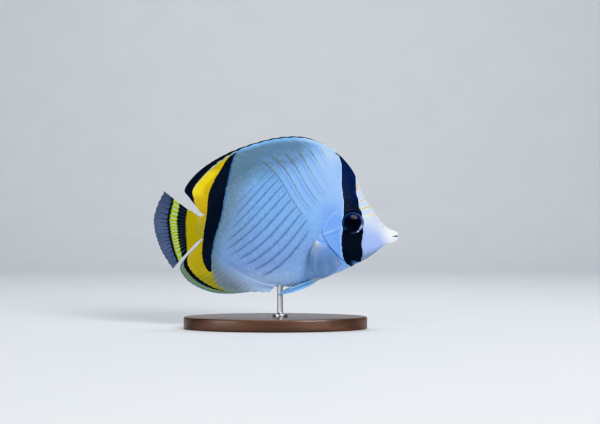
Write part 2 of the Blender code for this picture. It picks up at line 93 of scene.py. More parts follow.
class Look:
    def __init__(self, name, **fixed):
        self.material = bpy.data.materials.new(name)
        self.material.use_nodes = True
        self.tree = self.material.node_tree
        self.shader = self.tree.nodes["Principled BSDF"]
        self.set(**fixed)

    def feed(self, socket, value):
        if isinstance(value, Sock):
            self.tree.links.new(value.socket, socket)
        else:
            socket.default_value = tint(value) if socket.type == "RGBA" else value

    # one method for every other node: its type, its settings, then the values or links of its sockets
    def add(self, kind, settings, sockets, out=0):
        node = self.tree.nodes.new(kind)
        for key, value in settings.items():
            if key == "stops":
                ramp = node.color_ramp.elements
                while len(ramp) < len(value):
                    ramp.new(1.0)
                for stop, (at, colour) in zip(ramp, value):
                    stop.position, stop.color = at, tint(colour)
            elif key == "curve":
                spots = node.mapping.curves[0].points
                while len(spots) < len(value):
                    spots.new(1.0, 1.0)
                for spot, (x, y) in zip(spots, value):
                    spot.location, spot.handle_type = (x, y), "AUTO"
                node.mapping.update()
            else:
                setattr(node, key, value)
        for key, value in sockets.items():
            self.feed(node.inputs[key], value)
        return Sock(self, node.outputs[out])

    def set(self, **sockets):
        for key, value in sockets.items():
            self.feed(self.shader.inputs[key.replace("_", " ")], value)

    def mix(self, factor, first, second, blend="MIX"):
        settings = {"data_type": "RGBA", "blend_type": blend}
        return self.add("ShaderNodeMix", settings, {0: factor, 6: first, 7: second}, out=2)

    def lay(self, mask, colour):
        # paints a colour over what is there so far
        self.colour = self.mix(mask, self.colour, colour)

    def noise(self, place, size, detail=2.0, roughness=0.5):
        sockets = {"Vector": place, "Scale": 1 / (size * mm), "Detail": detail, "Roughness": roughness}
        return self.add("ShaderNodeTexNoise", {}, sockets)

    def place(self):
        return self.add("ShaderNodeTexCoord", {}, {}, out="Object")

    def parts(self, vector):
        x = self.add("ShaderNodeSeparateXYZ", {}, {0: vector})
        return x, x.out("Y"), x.out("Z")

    def attribute(self, name, out="Fac"):
        return self.add("ShaderNodeAttribute", {"attribute_name": name}, {}, out=out)

    def attributes(self, *names):
        return [self.attribute(name) for name in names]

    def bump(self, height, distance, strength):
        sockets = {"Height": height, "Distance": distance * mm, "Strength": strength}
        return self.add("ShaderNodeBump", {}, sockets)


def tint(colour):
    # a screen colour, 0 to 255, or one from "colours" by its name, as the shader's linear colour
    def linear(value):
        return value / 12.92 if value <= 0.04045 else ((value + 0.055) / 1.055) ** 2.4
    return (*(linear(value / 255) for value in colours.get(colour, colour)), 1.0)


def keyed(keys, at):
    # rows of values on a smooth curve through key rows that start with their place
    keys = np.array(keys, float)
    places, values = keys[:, 0], keys[:, 1:]
    slopes = np.gradient(values, places, axis=0)
    at = np.atleast_1d(np.asarray(at, float))
    i = np.clip(np.searchsorted(places, at) - 1, 0, len(places) - 2)
    span = (places[i + 1] - places[i])[:, None]
    t = (at - places[i])[:, None] / span
    start = (2 * t**3 - 3 * t**2 + 1) * values[i] + (t**3 - 2 * t**2 + t) * span * slopes[i]
    end = (3 * t**2 - 2 * t**3) * values[i + 1] + (t**3 - t**2) * span * slopes[i + 1]
    return start + end


def numbered(keys):
    return [(i / (len(keys) - 1), *key) for i, key in enumerate(keys)]


def ease(value):
    value = np.clip(value, 0, 1)
    return value * value * (3 - 2 * value)


def swell(gap, width, power=2):
    return np.exp(-(gap / width) ** power)


def unit(vectors):
    return vectors / np.linalg.norm(vectors, axis=1)[:, None]


def rows(*columns):
    return np.stack(np.broadcast_arrays(*columns), -1)


def place(back, up, side=0.0):
    return rows(body["mouth"][0] - back, side, body["mouth"][1] + up) * mm


def sideView(found):
    # back and up of rows of places
    return body["mouth"][0] - found[:, 0] / mm, found[:, 2] / mm - body["mouth"][1]


def arc(x, y, width, height, start, end, count):
    # points on an ellipse, from its centre, half width and half height, between two angles
    turns = np.radians(np.linspace(start, end, count))
    return [(x + width * math.cos(turn), y + height * math.sin(turn)) for turn in turns]


def newObject(name, data, look=None):
    made = bpy.data.objects.new(name, data)
    scene.collection.objects.link(made)
    if look:
        data.materials.append(look.material)
    return made


def newMesh(name, mesh):
    data = bpy.data.meshes.new(name)
    mesh.to_mesh(data)
    mesh.free()
    return data


def smooth(data, sharp):
    data.shade_smooth()
    data.set_sharp_from_angle(angle=math.radians(sharp))


def finish(name, mesh, look, sharp):
    bmesh.ops.remove_doubles(mesh, verts=mesh.verts, dist=1e-7)
    bmesh.ops.recalc_face_normals(mesh, faces=mesh.faces)
    data = newMesh(name, mesh)
    smooth(data, sharp)
    return newObject(name, data, look)


def points(data, name="co"):
    # places or normals of a mesh's points
    found = np.empty(len(data.vertices) * 3)
    data.vertices.foreach_get(name, found)
    return found.reshape(-1, 3)


def pushOut(mesh, made, vector):
    # moves the new points of an extrusion, and gives back its new faces
    parts = made["geom"]
    tops = [part for part in parts if isinstance(part, bmesh.types.BMVert)]
    bmesh.ops.translate(mesh, verts=tops, vec=vector)
    return [part for part in parts if isinstance(part, bmesh.types.BMFace)]


def movePoints(data, found):
    data.vertices.foreach_set("co", np.ascontiguousarray(found, dtype=np.float32).ravel())
    data.update()


def unwrap(data, spots):
    # lays out the map for the bake, from a place on it for each point of the mesh
    corners = np.empty(len(data.loops), dtype=np.int32)
    data.loops.foreach_get("vertex_index", corners)
    layer = data.uv_layers.new(name="OFBake")
    layer.data.foreach_set("uv", spots[corners].astype(np.float32).ravel())


def note(data, **attributes):
    # a value, or a row of three, at each point of a mesh, for its material
    for name, values in attributes.items():
        values = np.asarray(values, dtype=np.float32)
        kind, field = ("FLOAT_VECTOR", "vector") if values.ndim == 2 else ("FLOAT", "value")
        data.attributes.new(name, kind, "POINT").data.foreach_set(field, values.ravel())


# The fish's flesh, seen from the side and from above
body = {
    "mouth": (80.0, 60.5),
    "back": (
        (0.9, 2.3), (2.3, 3.4), (5.2, 4.6), (9.6, 7.8), (15.4, 15.7), (22.7, 26.8), (28.5, 41), (34.3, 49.2),
        (40.2, 54.6), (50, 57.7), (64, 57.6), (83.6, 53.6), (99.9, 45.2), (112.3, 34.2), (120.8, 22),
        (126, 14.2), (133.5, 12.4),
    ),
    "belly": (
        (0.9, -2.3), (2.3, -3.5), (5.8, -5.3), (9.6, -6.9), (15.4, -11.5), (21.5, -15.5), (29.7, -19.7),
        (40.2, -24.5), (49.6, -28.2), (60.7, -31.7), (72, -33.1), (81, -32.8), (93.4, -29), (106.4, -22),
        (117.5, -12.4), (125.4, -2.9), (133.5, -1.2),
    ),
    "halfWidth": (
        (0.9, 1.7), (2.3, 2.5), (5.2, 3.3), (9.6, 4.4), (15.4, 6.3), (21, 8), (29.7, 9.9), (40, 11.3),
        (52, 12), (66, 11.7), (84, 10.1), (100, 7.8), (112, 5.8), (121, 4.3), (128, 2.9), (133.5, 1.3),
    ),
    "lens": 1.2,
    "coatDepth": 0.25,
    "noseRound": 2.4,
    "keelHalf": 1.6,  # of the flesh where it runs into a fin
    "keelPower": 2.2,
    "keelStart": (41, 80),  # back where the upper and the lower fin start
    "keelFade": 6,
    "fleshEnd": 133.5,
    "tailEnd": 133.6,
    "tailRound": 1.3,
    "ringEnds": (2.4, 16, 52, 121, 133.6),  # where the spacing of rings changes
    "rings": (14, 34, 66, 58, 14),  # rings in each stretch, the first round the nose
    "sides": 250,
    "evenness": 0.5,
}

head = {
    "gillEdge": (
        (41.3, 64), (40.2, 50), (38.4, 36), (37.6, 24), (39.8, 17), (44.4, 12.6), (48, 7.4), (49.3, 1.6),
        (47.4, -2), (43.6, -7.2), (39.2, -12.4), (34.6, -17.2), (29, -27),
    ),
    "gillLift": 0.8,
    "gillFade": 8,
    "gillTop": (20, 7),  # up where it starts, and over how far it fades
    "gillFoot": (-19, 6),
    "gillStep": 0.5,
    "gillTrough": (0.8, 0.45, 0.15),  # behind the edge: place, width, depth
    "gillCrease": (0.42, 0.3, 0.32),  # the same for the painted shade line along it
    "gillFar": 50.0,  # stands for every place nowhere near it
    "gillNear": 62,  # back as far as which it counts, and the same for the ridges
    "ridgesNear": 60,
    "creaseTop": (12, 8),  # up where the dark line starts, and over how far it fades
    "ridges": (  # back, up, height; then its width
        (((49, 0.8, 0.8), (42.5, 3.4, 0.8), (37.6, 6.2, 0.1)), 0.9),
        (((38.8, 11, 0.1), (40, 2, 0.7), (37.6, -6, 0.9), (32, -11.2, 0.8), (25, -10.6, 0.1)), 1.3),
        (((13.5, 3.4, 0.1), (9, 1, 0.45), (5.6, -1.4, 0.4), (6.6, -4, 0.1)), 1.3),
    ),
    "mouthCorner": 4.0,
    "mouthHalf": (0.58, 0.2),  # of the slot at the lips' front and at its corner
    "mouthTilt": 0.05,
    "mouthFloor": (0.5, 0.45),  # how far the slot is set back, and its floor's width
    "lipRise": 0.42,
    "lips": (0.95, 0.55),  # their middle from the mouth's line, and their width
    "lipFade": (0.4, 2.4),  # how far behind the corner they end, and over what length
    "mouthSoft": 0.5,
    "mouthShadow": (1.8, 0.08),  # its strength, and how much wider it is than the slot
    "nostrils": ((10.3, 6.6, 0.52), (9.2, 5.3, 0.42)),
    "nostrilRim": (0.22, 0.2, 0.22),  # from its edge, width, height
    "nostrilDepth": 0.9,
    "nostrilSoft": 0.18,  # width of its edge
    "finLobe": (50.2, -2.6, 0.9, 2.1),  # root of the paired fin: place, height, width
    "socketRim": (1.1, 0.7, 0.42),  # from the eye's edge, width, height
    "socketDepth": 3.4,
    "socketEdge": (0.38, 0.75, 0.8),  # where it starts, its slope's width, and where ridges end
}

eye = {
    "place": (29.7, 8.6), "radius": 7.1, "front": 2.6, "rear": 4.6, "depth": 1.1, "turn": 11.0, "pupil": 2.9,
    "sides": 72, "gap": 0.06, "corneaThick": 0.12, "mapWidth": 16.0,
}


def turnAt(share):
    # angle round the body, spread so that the flanks get as many points as the keels
    half = np.where(share <= 0.5, 1 - 4 * share, 4 * share - 3)
    even = body["evenness"]
    lean = even * np.arcsin(np.clip(half, -1, 1)) + (1 - even) * half * math.pi / 2
    return np.where(share <= 0.5, lean, -math.pi - lean)


def contour(name, back):
    return keyed(body[name], back)[:, 0]


def fleshAt(back, turn, grow=0.0):
    # side and up of the plain flesh at a place along it and an angle round it
    roundEnd, power, across = body["noseRound"], body["keelPower"], np.cos(turn)
    held = np.clip(back, roundEnd, body["fleshEnd"])
    top, bottom = contour("back", held) + grow, contour("belly", held) - grow
    nose = np.sqrt(np.clip(1 - (np.clip(roundEnd - back, 0, None) / roundEnd) ** 2, 0, 1))
    tail = np.sqrt(np.clip((body["tailEnd"] - back) / body["tailRound"], 0, 1))
    up = (top + bottom) / 2 + (top - bottom) / 2 * nose * np.sin(turn)
    reach = (contour("halfWidth", held) + grow) * nose * tail * np.abs(across) ** body["lens"]
    upper, lower = (ease((back - start) / body["keelFade"]) for start in body["keelStart"])
    finned = np.where(np.sin(turn) > 0, upper, lower)
    keel = body["keelHalf"] * finned * tail * (np.abs(across) > 1e-4)
    return -np.sign(across) * (reach**power + keel**power) ** (1 / power), up


def flank(back, up):
    back = np.atleast_1d(np.asarray(back, float))
    top, bottom = contour("back", back), contour("belly", back)
    share = (2 * up - top - bottom) / (top - bottom)
    return contour("halfWidth", back) * np.clip(1 - share * share, 0, None) ** (body["lens"] / 2)


def lineOf(keys, count):
    return keyed(numbered(keys), np.linspace(0, 1, count))


def awayFrom(line, back, up):
    # distance square to a line of points, plus on its rear side, and the nearest point's number
    near = np.hypot(back[:, None] - line[:, 0], up[:, None] - line[:, 1]).argmin(1)
    along = unit(np.gradient(line[:, :2], axis=0))
    aside, above = back - line[near, 0], up - line[near, 1]
    return above * along[near, 0] - aside * along[near, 1], np.hypot(aside, above), near


gillLine = lineOf(head["gillEdge"], 240)


def gillPlace(back, up):
    across = np.full(len(back), head["gillFar"])
    near = back < head["gillNear"]
    across[near] = awayFrom(gillLine, back[near], up[near])[0]
    return across


def eyeRadiusAt(back, up):
    slant = (back - eye["place"][0]) / math.cos(math.radians(eye["turn"]))
    return np.hypot(slant, up - eye["place"][1])


def mouthUp(back):
    return -head["mouthTilt"] * back


def reliefAt(back, up):
    # how far the head's surface stands out from the plain flesh, and its painted shade in creases and pits
    across = gillPlace(back, up)
    above = np.clip((head["gillTop"][0] - up) / head["gillTop"][1], 0, 1)
    below = np.clip((up - head["gillFoot"][0]) / head["gillFoot"][1], 0, 1)
    shape = np.where(across < 0, swell(across, head["gillFade"]), 1 - ease(across / head["gillStep"]))
    spot, width, deep = head["gillTrough"]
    rise = (head["gillLift"] * shape - deep * swell(across - spot, width)) * above * below
    # a painted shade line just behind the gill cover's edge
    spot, width, dark = head["gillCrease"]
    top, fade = head["creaseTop"]
    crease = dark * swell(across - spot, width) * above * below * ease((top - up) / fade)
    near = back < head["ridgesNear"]
    for keys, width in head["ridges"]:
        line = lineOf(keys, 80)
        _, straight, number = awayFrom(line, back[near], up[near])
        rise[near] += line[number, 2] * swell(straight, width)
    lobeBack, lobeUp, lobeHeight, lobeWidth = head["finLobe"]
    rise += lobeHeight * swell(np.hypot(back - lobeBack, up - lobeUp), lobeWidth, 3)
    spot, width, high = head["nostrilRim"]
    for nostrilBack, nostrilUp, radius in head["nostrils"]:
        gap = np.hypot(back - nostrilBack, up - nostrilUp)
        hole = ease((radius - gap) / head["nostrilSoft"] + 0.5)
        rise += high * swell(gap - radius - spot, width) - head["nostrilDepth"] * hole
        # painted shade in the nostril's hole
        crease += hole
    gap = eyeRadiusAt(back, up) - eye["radius"]
    spot, width, high = head["socketRim"]
    start, slope, clear = head["socketEdge"]
    pit = ease((start - gap) / slope)
    rise = rise * ease(gap / clear) + high * swell(gap - spot, width) - head["socketDepth"] * pit
    # painted shade in the eye's socket, added to that of the creases and nostrils
    return rise, np.clip(crease + pit, 0, 1)


def markedLook(name, **fixed):
    # places on the fish, for its markings: each point's own, and partly that of its scale's root,
    # so that the edge of a marking follows the scales a little
    look = Look(name, **fixed)
    look.here = look.place()
    mouthBack, mouthHeight = body["mouth"]
    x, y, z = look.parts(look.here)
    look.back, look.up, look.side = mouthBack - x * 1000, z * 1000 - mouthHeight, y * 1000
    x, _, z = look.parts(look.attribute("spot", "Vector"))
    byScale = 0.45
    look.spotBack = (mouthBack - x * 1000) * byScale + look.back * (1 - byScale)
    look.spotUp = (z * 1000 - mouthHeight) * byScale + look.up * (1 - byScale)
    look.wander = look.noise(look.here, 5, 4, 0.6) - 0.5
    return look


# Bands and lines of the skin: back at keys of up, or up at keys of back
marks = {
    "rearBarRear": (
        (-23.7, 121.8), (-21, 125.2), (-12, 127.8), (0, 126.6), (13, 124.7), (24.7, 124), (34.3, 120.8),
        (43.6, 115.5), (50, 111.7), (56, 104),
    ),
    "rearBarFront": (
        (-23.7, 121.8), (-10, 121.4), (0, 118.8), (14, 114.6), (30, 112.1), (40, 110.2), (49, 108.2),
        (56, 104),
    ),
    "eyeBarRear": (
        (-20.5, 30), (-19.4, 31.3), (-15.8, 34.9), (-9.6, 36.6), (-2.4, 37.1), (2.3, 36.6), (14.4, 35.9),
        (21.5, 35.7), (28.7, 36.4), (34.5, 36.9), (44.4, 36.8), (52.2, 38.5), (60, 40),
    ),
    "eyeBarFront": (
        (-20.5, 24.6), (-14.2, 23.9), (-11.5, 23.2), (-5.3, 23.9), (1.9, 23.2), (12.4, 24.2), (14.4, 23.9),
        (16.3, 24.4), (19.1, 25.6), (24, 26.1), (28.7, 27.5), (34.6, 27.5), (38.5, 27.6), (42, 27.4),
        (60, 27),
    ),
    "eyeBarFoot": ((22, -16.2), (25, -16.9), (27.5, -17.7), (31.3, -20.2), (40, -20.2)),
    # fields whose whole numbers are the thin lines of the flank, in p = (back - 75) / 30 and
    # r = (up - 15) / 30: the factors of 1, p, r, pp, pr, rr, ppp, ppr, prr, rrr
    "frontLines": (6.923, 5.428, -3.808, 1.701, -1.432, 1.632, -0.116, -2.05, -0.483, -0.758),
    "rearLines": (4.339, -4.116, -3.551, 0.007, -0.61, -0.404, -0.374, -0.857, 0.124, -0.283),
    "browLines": (13.1, 5.55, 0.27),  # first line, spacing, slope
    "gillFlap": ((37.4, 6.4), (42.5, 3.6), (47, 2), (52, -1.2)),
}

colours = {
    "flankTop": (104, 152, 200), "flankRear": (102, 132, 166), "flankLow": (112, 142, 190),
    "flankFront": (130, 176, 230), "gill": (108, 156, 224), "breast": (134, 172, 222),
    "belly": (150, 176, 210), "lowRear": (94, 108, 118), "nape": (184, 214, 242), "crown": (80, 106, 126),
    # ridge is the colour of a painted highlight on the dorsal fin's front edge
    "ridge": (112, 170, 226), "olive": (82, 104, 106), "brow": (200, 214, 234), "cheek": (160, 182, 236),
    "cheekLow": (118, 138, 172), "snout": (240, 243, 246), "line": (62, 78, 100),
    "lineBlue": (84, 120, 184), "lineBrown": (74, 80, 86), "bar": (1, 5, 15), "barTop": (2, 18, 56),
    "gold": (196, 170, 62), "lilac": (176, 176, 210), "yellow": (170, 145, 0), "yellowLow": (148, 134, 0),
    "yellowLit": (206, 188, 0), "rim": (210, 230, 252), "barEdge": (28, 76, 132), "outline": (8, 20, 52),
    "fringe": (96, 80, 74), "crease": (8, 14, 30), "purple": (44, 40, 84), "fleck": (70, 112, 184),
    "barFoot": (112, 142, 200), "scaleRoot": (70, 96, 146),
    "tailGreen": (136, 150, 18), "white": (255, 255, 255),
}


def lineField(factors, back, up):
    p, r = (back - 75) * (1 / 30), (up - 15) * (1 / 30)
    one, cp, cr, cpp, cpr, crr, cppp, cppr, cprr, crrr = factors
    square = p * (p * cppp + cpp) + cp
    return p * square + r * (r * (r * crrr + crr) + cr) + p * r * (p * cppr + r * cprr + cpr) + one


def layFlesh(look, edgeLightAndShade=0.0):
    # the flesh's markings, with a painted highlight on the belly's keel and painted shade on the nape, by a
    # share
    back, up, spotBack, spotUp, wander = look.back, look.up, look.spotBack, look.spotUp, look.wander
    look.colour = "flankLow"
    look.lay(up.step(-22, 26), "flankTop")
    look.lay(back.step(84, 112) * up.step(-22, 4), "flankRear")
    front = back.step(88, 44)
    look.lay(front * up.step(-6, 26), "flankFront")
    look.lay(back.step(54, 46) * up.step(26, 14), "gill")
    look.lay(up.step(-10, -26) * front, "breast")
    look.lay(up.step(-17, -32) * back.step(56, 76), "belly")
    look.lay((up - back * 0.75).step(-96, -115), "lowRear")
    look.lay(back.step(56, 42) * (up + back * 0.3).step(54, 71), "nape")
    rearEdge = spotUp.follow(marks["rearBarRear"])
    frontEdge = spotUp.follow(marks["rearBarFront"])
    olive = ((back - frontEdge) / (8.0 + up.most(0) * 0.36)).step(-1, -0.06)
    look.lay(olive * 0.62, "olive")
    crown = (up + back * 0.22 + wander * 6).step(51, 67) * back.step(44, 67)
    look.lay(crown * (0.86 + wander * 0.4), "crown")
    # painted highlight: a pale band along the keel of the belly's front half
    keel = abs(look.side).step(3, 0.6) * back.step(82, 76) * up.step(4, -8)
    look.lay(keel * edgeLightAndShade, "rim")

    # thin lines of the flank: one set falls forward from the back, the other falls backward
    frontField = lineField(marks["frontLines"], back, up)
    rearField = lineField(marks["rearLines"], back, up)
    frontSet = (frontField + wander * 0.1).pulse(0.03, 0.085)
    # painted shade: a blurred blue line beside each brown line, in the scale rows' grooves
    blueShadeSet = (frontField + 0.66 + wander * 0.14).pulse(0.03, 0.17)
    frontShow = (
        frontField.step(-0.9, -0.2) * frontField.step(5.6, 5.1) * (up + back * 0.757).step(56, 65)
        * back.step(42.5, 47) * back.step(112, 84) * (up + back * 0.22).step(72.5, 66)
    )
    rearSet = (rearField + wander * 0.08).pulse(0.03, 0.14)
    halo = (rearField + 0.05 + wander * 0.08).pulse(0.06, 0.3)
    between = (rearField + 0.5 + wander * 0.1).pulse(0.02, 0.14) * frontField.step(7.6, 5.6)
    rearShow = (
        frontField.step(4.7, 5.5) * rearField.step(-1.8, -0.3) * rearField.step(8.6, 8.2)
        * (back - frontEdge).step(-6, -13) * back.step(56, 61) * (up - back * 0.72).step(-92, -84)
    )
    look.lay(blueShadeSet * frontShow * 0.55, "lineBlue")
    look.lay(frontSet * frontShow * 0.66, "lineBrown")
    look.lay(halo * rearShow * 0.32, "lineBlue")
    look.lay(rearSet.most(between * 0.45) * rearShow * 0.56, "line")

    # pale rims of the gill cover and its flap
    gillRim = abs(look.attribute("gill") - 0.2).step(0.6, 0.1) * up.step(1, 6)
    look.lay(gillRim * up.step(24, 14) * 0.26, "rim")
    flap = abs(up - back.follow(marks["gillFlap"])).step(0.6, 0.1) * back.band(38.2, 51, 1)
    look.lay(flap * 0.34, "rim")

    # head in front of the eye bar
    flesh, look.colour = look.colour, "cheek"
    frontSide, rearSide = (spotUp.follow(marks[name]) for name in ("eyeBarFront", "eyeBarRear"))
    behindFace, sloped = back - frontSide, up - back * 0.3
    look.lay(sloped.step(-6, 5), "brow")
    # painted shade on the underside of the head
    look.lay((up + back * 0.3).step(0, -7.5), "cheekLow")
    look.lay((back - up.least(0) * 0.5).step(15, 4), "snout")
    first, spacing, slope = marks["browLines"]
    browField = (up + back * slope - first) * (1 / spacing)
    brow = (browField + wander * 0.06).pulse(0.07, 0.07) * browField.step(-0.5, -0.3)
    brow = brow * browField.step(3.5, 3.2) * behindFace.step(-0.2, -0.8)
    brow = brow * (back - browField * 2.7).step(20, 18.4) * (0.95 - abs(browField - 2.1) * 0.26)
    look.lay(brow, look.mix(browField.step(0.4, 0.6), "lilac", "gold"))
    look.colour = look.mix(behindFace.step(2, -1), flesh, look.colour)

    # eye bar, and a painted shade line along the edge of the back that runs on to it over the nape
    look.lay(abs(back - rearSide).step(1.6, 0.4) * 0.35 * up.step(-20, -10), "rim")
    # painted shade: a dark line along the nape's edge
    nape = abs(look.side).step(2.4, 1.8) * up.step(42, 45) * back.step(54, 51)
    look.lay(nape * edgeLightAndShade * 2.4, "outline")
    look.lay(up.band(29.4, 34.2, 0.7) * behindFace.band(-1.4, 0.1, 0.3) * 0.8, "gold")
    look.lay(abs(behindFace).step(0.7, 0.1) * up.step(24, 16) * 0.6, "fringe")
    flesh, look.colour = look.colour, "bar"
    look.lay(up.step(14, 40), "barTop")
    look.lay(up.band(24, 36, 3) * behindFace.step(3.4, 0.2) * 0.5, "purple")
    # painted glints of the scales on the upper eye bar
    look.lay(look.noise(look.here, 0.6, 0).step(0.68, 0.8) * up.step(0, 20) * 0.3, "fleck")
    look.lay(sloped.step(-23.8, -26.4) * back.step(31.6, 27.6) * 0.7, "barFoot")
    bar = (spotBack - frontSide + wander * 0.5).step(-0.08, 0.08)
    bar = bar * (spotBack - rearSide + wander * 0.5).step(0.08, -0.08)
    bar = bar * (spotUp - spotBack.follow(marks["eyeBarFoot"])).step(-0.1, 0.1)
    look.colour = look.mix(bar, flesh, look.colour)

    # rear bar, with the yellow of the stalk behind it
    look.lay((spotBack - rearEdge).step(-0.1, 0.1), look.mix(up.step(22, 6), "yellow", "yellowLow"))
    look.lay((spotBack - frontEdge).band(-1.1, 0, 0.3) * up.step(-18, -8) * 0.6, "barEdge")
    rearBar = (spotBack - frontEdge + wander * 0.6).step(-0.1, 0.1)
    rearBar = rearBar * (spotBack - rearEdge + wander * 0.6).step(0.1, -0.1)
    look.lay(rearBar, "bar")
    look.dark = bar.most(rearBar)


def layScaleTone(look):
    # painted shade at each scale's root, under the next scale's edge, and a tone a little unlike its
    # neighbours
    breast = look.back.step(72, 58) * look.up.step(32, 18) * look.back.step(34, 40)
    look.lay(look.attribute("rootward") * (0.24 + 0.34 * breast), "scaleRoot")
    bright = 1 + look.attribute("tone") * 0.03
    shade = look.add("ShaderNodeCombineColor", {}, {0: bright, 1: bright, 2: bright})
    look.colour = look.mix(1.0, look.colour, shade, "MULTIPLY")


def makeSkinLook():
    look = markedLook("fishSkin", Coat_Roughness=0.3, Specular_IOR_Level=0.15)
    layFlesh(look, 0.4)
    layScaleTone(look)
    # painted shade in the creases, the nostrils, the eye's sockets and the mouth's slot
    look.lay(look.attribute("crease") * 0.92, "crease")
    grain = look.noise(look.here, 0.8, 3, 0.6)
    plain = 1 - look.dark.most(look.attribute("crease"))
    # pale specks: painted glints of the scales
    look.lay(grain.step(0.5, 0.68) * plain * 0.13, "rim")
    look.lay(grain.step(0.47, 0.32) * plain * 0.12, "lineBlue")
    look.set(
        Base_Color=look.colour, Roughness=0.42 + grain * 0.16, Metallic=plain * 0.15,
        Coat_Weight=plain * 0.12, Normal=look.bump(look.noise(look.here, 0.45), 0.05, 0.5),
    )
    return look


def alongBack(share):
    # back of a ring by its number: round the nose, then by stretches
    number, counts = share * sum(body["rings"]), np.cumsum(body["rings"])
    nose = body["noseRound"] * (1 - np.cos(np.clip(number / counts[0], 0, 1) * math.pi / 2))
    return np.where(number < counts[0], nose, np.interp(number, counts, body["ringEnds"]))


def refine(mesh, test):
    # halves the edges whose middle passes a test on back and up, on the flat chart
    edges = list(mesh.edges)
    ends = [[vertex.co for vertex in edge.verts] for edge in edges]
    middles = np.array([(a.x + b.x, a.y + b.y) for a, b in ends]) / 2
    chosen = test(middles[:, 0], fleshAt(middles[:, 0], turnAt(middles[:, 1]))[1])
    edges = [edge for edge, take in zip(edges, chosen) if take]
    bmesh.ops.subdivide_edges(mesh, edges=edges, cuts=1, use_grid_fill=True)


def nearHeadForms(back, up):
    eyeGap = np.abs(eyeRadiusAt(back, up) - eye["radius"] - 0.3)
    gill = np.abs(gillPlace(back, up) - 0.3)
    return (eyeGap < 1.5) | ((gill < 1.3) & (up < 20) & (up > -19)) | nearSmallForms(back, up)


def nearSmallForms(back, up):
    close = (back < 4.6) & (np.abs(up - mouthUp(back)) < 1.0)
    for nostrilBack, nostrilUp, radius in head["nostrils"]:
        close |= np.hypot(back - nostrilBack, up - nostrilUp) < radius + 0.9
    return close


def makeSkin(look):
    mesh = bmesh.new()
    bmesh.ops.create_grid(mesh, x_segments=sum(body["rings"]), y_segments=body["sides"], size=0.5)
    for vertex in mesh.verts:
        vertex.co = (float(alongBack(vertex.co.x + 0.5)), vertex.co.y + 0.5, 0)
    refine(mesh, nearHeadForms)
    refine(mesh, nearSmallForms)
    bmesh.ops.triangulate(mesh, faces=[face for face in mesh.faces if len(face.verts) > 4])
    data = newMesh("skin", mesh)
    back, share, _ = points(data).T
    unwrap(data, rows(back / body["tailEnd"], share))

    turn = turnAt(share)
    side, up = fleshAt(back, turn, -body["coatDepth"])
    movePoints(data, place(back, up, side))
    normals = points(data, "normal")
    outward = np.sign(np.sum(normals[:, 1] * side))
    rise, crease = reliefAt(back, up)
    rise *= np.abs(np.cos(turn)) ** 0.5

    # lips swell on both sides of the mouth's line, then the mouth is pressed in along it
    lowered, corner = up - mouthUp(back), head["mouthCorner"]
    (middle, width), (beyond, fade) = head["lips"], head["lipFade"]
    lipped = ease((corner + beyond - back) / fade)
    rise += head["lipRise"] * swell(np.abs(lowered) - middle, width) * lipped
    found = points(data) + outward * normals * rise[:, None] * mm
    inner = ease((corner - back) / head["mouthSoft"])
    half = np.interp(back, (0, corner), head["mouthHalf"])
    pressed = swell(lowered, half, 6) * inner
    setBack, narrow = head["mouthFloor"]
    found[:, 0] -= setBack * mm * pressed
    found[:, 1] *= 1 - (1 - narrow) * pressed
    movePoints(data, found)

    mesh = bmesh.new()
    mesh.from_mesh(data)
    layer = mesh.verts.layers.float.new("crease")
    # painted shadow inside the mouth's slot, kept with the other painted shade
    dark, wider = head["mouthShadow"]
    shadow = dark * inner * swell(lowered, half + wider, 6)
    for vertex, value in zip(mesh.verts, np.clip(crease + shadow, 0, 1)):
        vertex[layer] = value
    bmesh.ops.remove_doubles(mesh, verts=mesh.verts, dist=1e-6)
    bmesh.ops.recalc_face_normals(mesh, faces=mesh.faces)
    mesh.to_mesh(data)
    tree = BVHTree.FromBMesh(mesh)
    mesh.free()
    smooth(data, 55)
    note(data, spot=points(data), gill=gillPlace(*sideView(points(data))))
    skin = newObject("skin", data, look)
    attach(skin, "root")
    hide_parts("head", "torso", "tail_stalk")
    print("skin:", len(data.polygons), "faces")
    return tree


# Scales of the flank, the head and the fin bases
coat = {
    "pitch": (2.4, 2.6),  # along a row, and from row to row
    "size": (
        (37, 0.72), (50, 0.9), (65, 1), (100, 1), (115, 0.85), (126, 0.62), (134, 0.34),
    ),
    "headPitch": (1.5, 1.65),
    "overlap": (1.42, 1.14),  # length and width of a scale against its pitch
    "sink": 0.26,
    "lift": 0.16,
    "thick": 0.1,
    "crown": 0.055,
    "uneven": 0.05,  # spread of the scales' turns and sizes
    "small": (2.6, 0.55),  # width under which they tilt less, and the least share
    "mapped": 0.003,  # width of a scale on the map
    "start": 14.5,
    "headEnd": 50.5,
    "headGrow": (9, 0.55),  # over how far they grow to full size, and the least share
    "flankStart": 36.0,
    "end": 132.8,
    "lean": 0.4,
    "corners": 9,
    "keelStart": (46, 84),  # back where the upper and the lower keel start
    "keelEnds": (0.94, 0.985),  # how near to a keel or an edge the rows go
    "spread": (1.15, 0.15, 0.45),  # how much wider the rows lie in the middle
    "gillGap": (0.95, -0.5),  # from the gill cover's edge, behind it and on it
    "overGill": (21, -0.2, -0.9),  # up where its edge ends, and the gaps above that
    "eyeGap": 1.9,
    "thinEdge": 0.5,  # half width of flesh that carries none
    "sideways": 0.35,
}


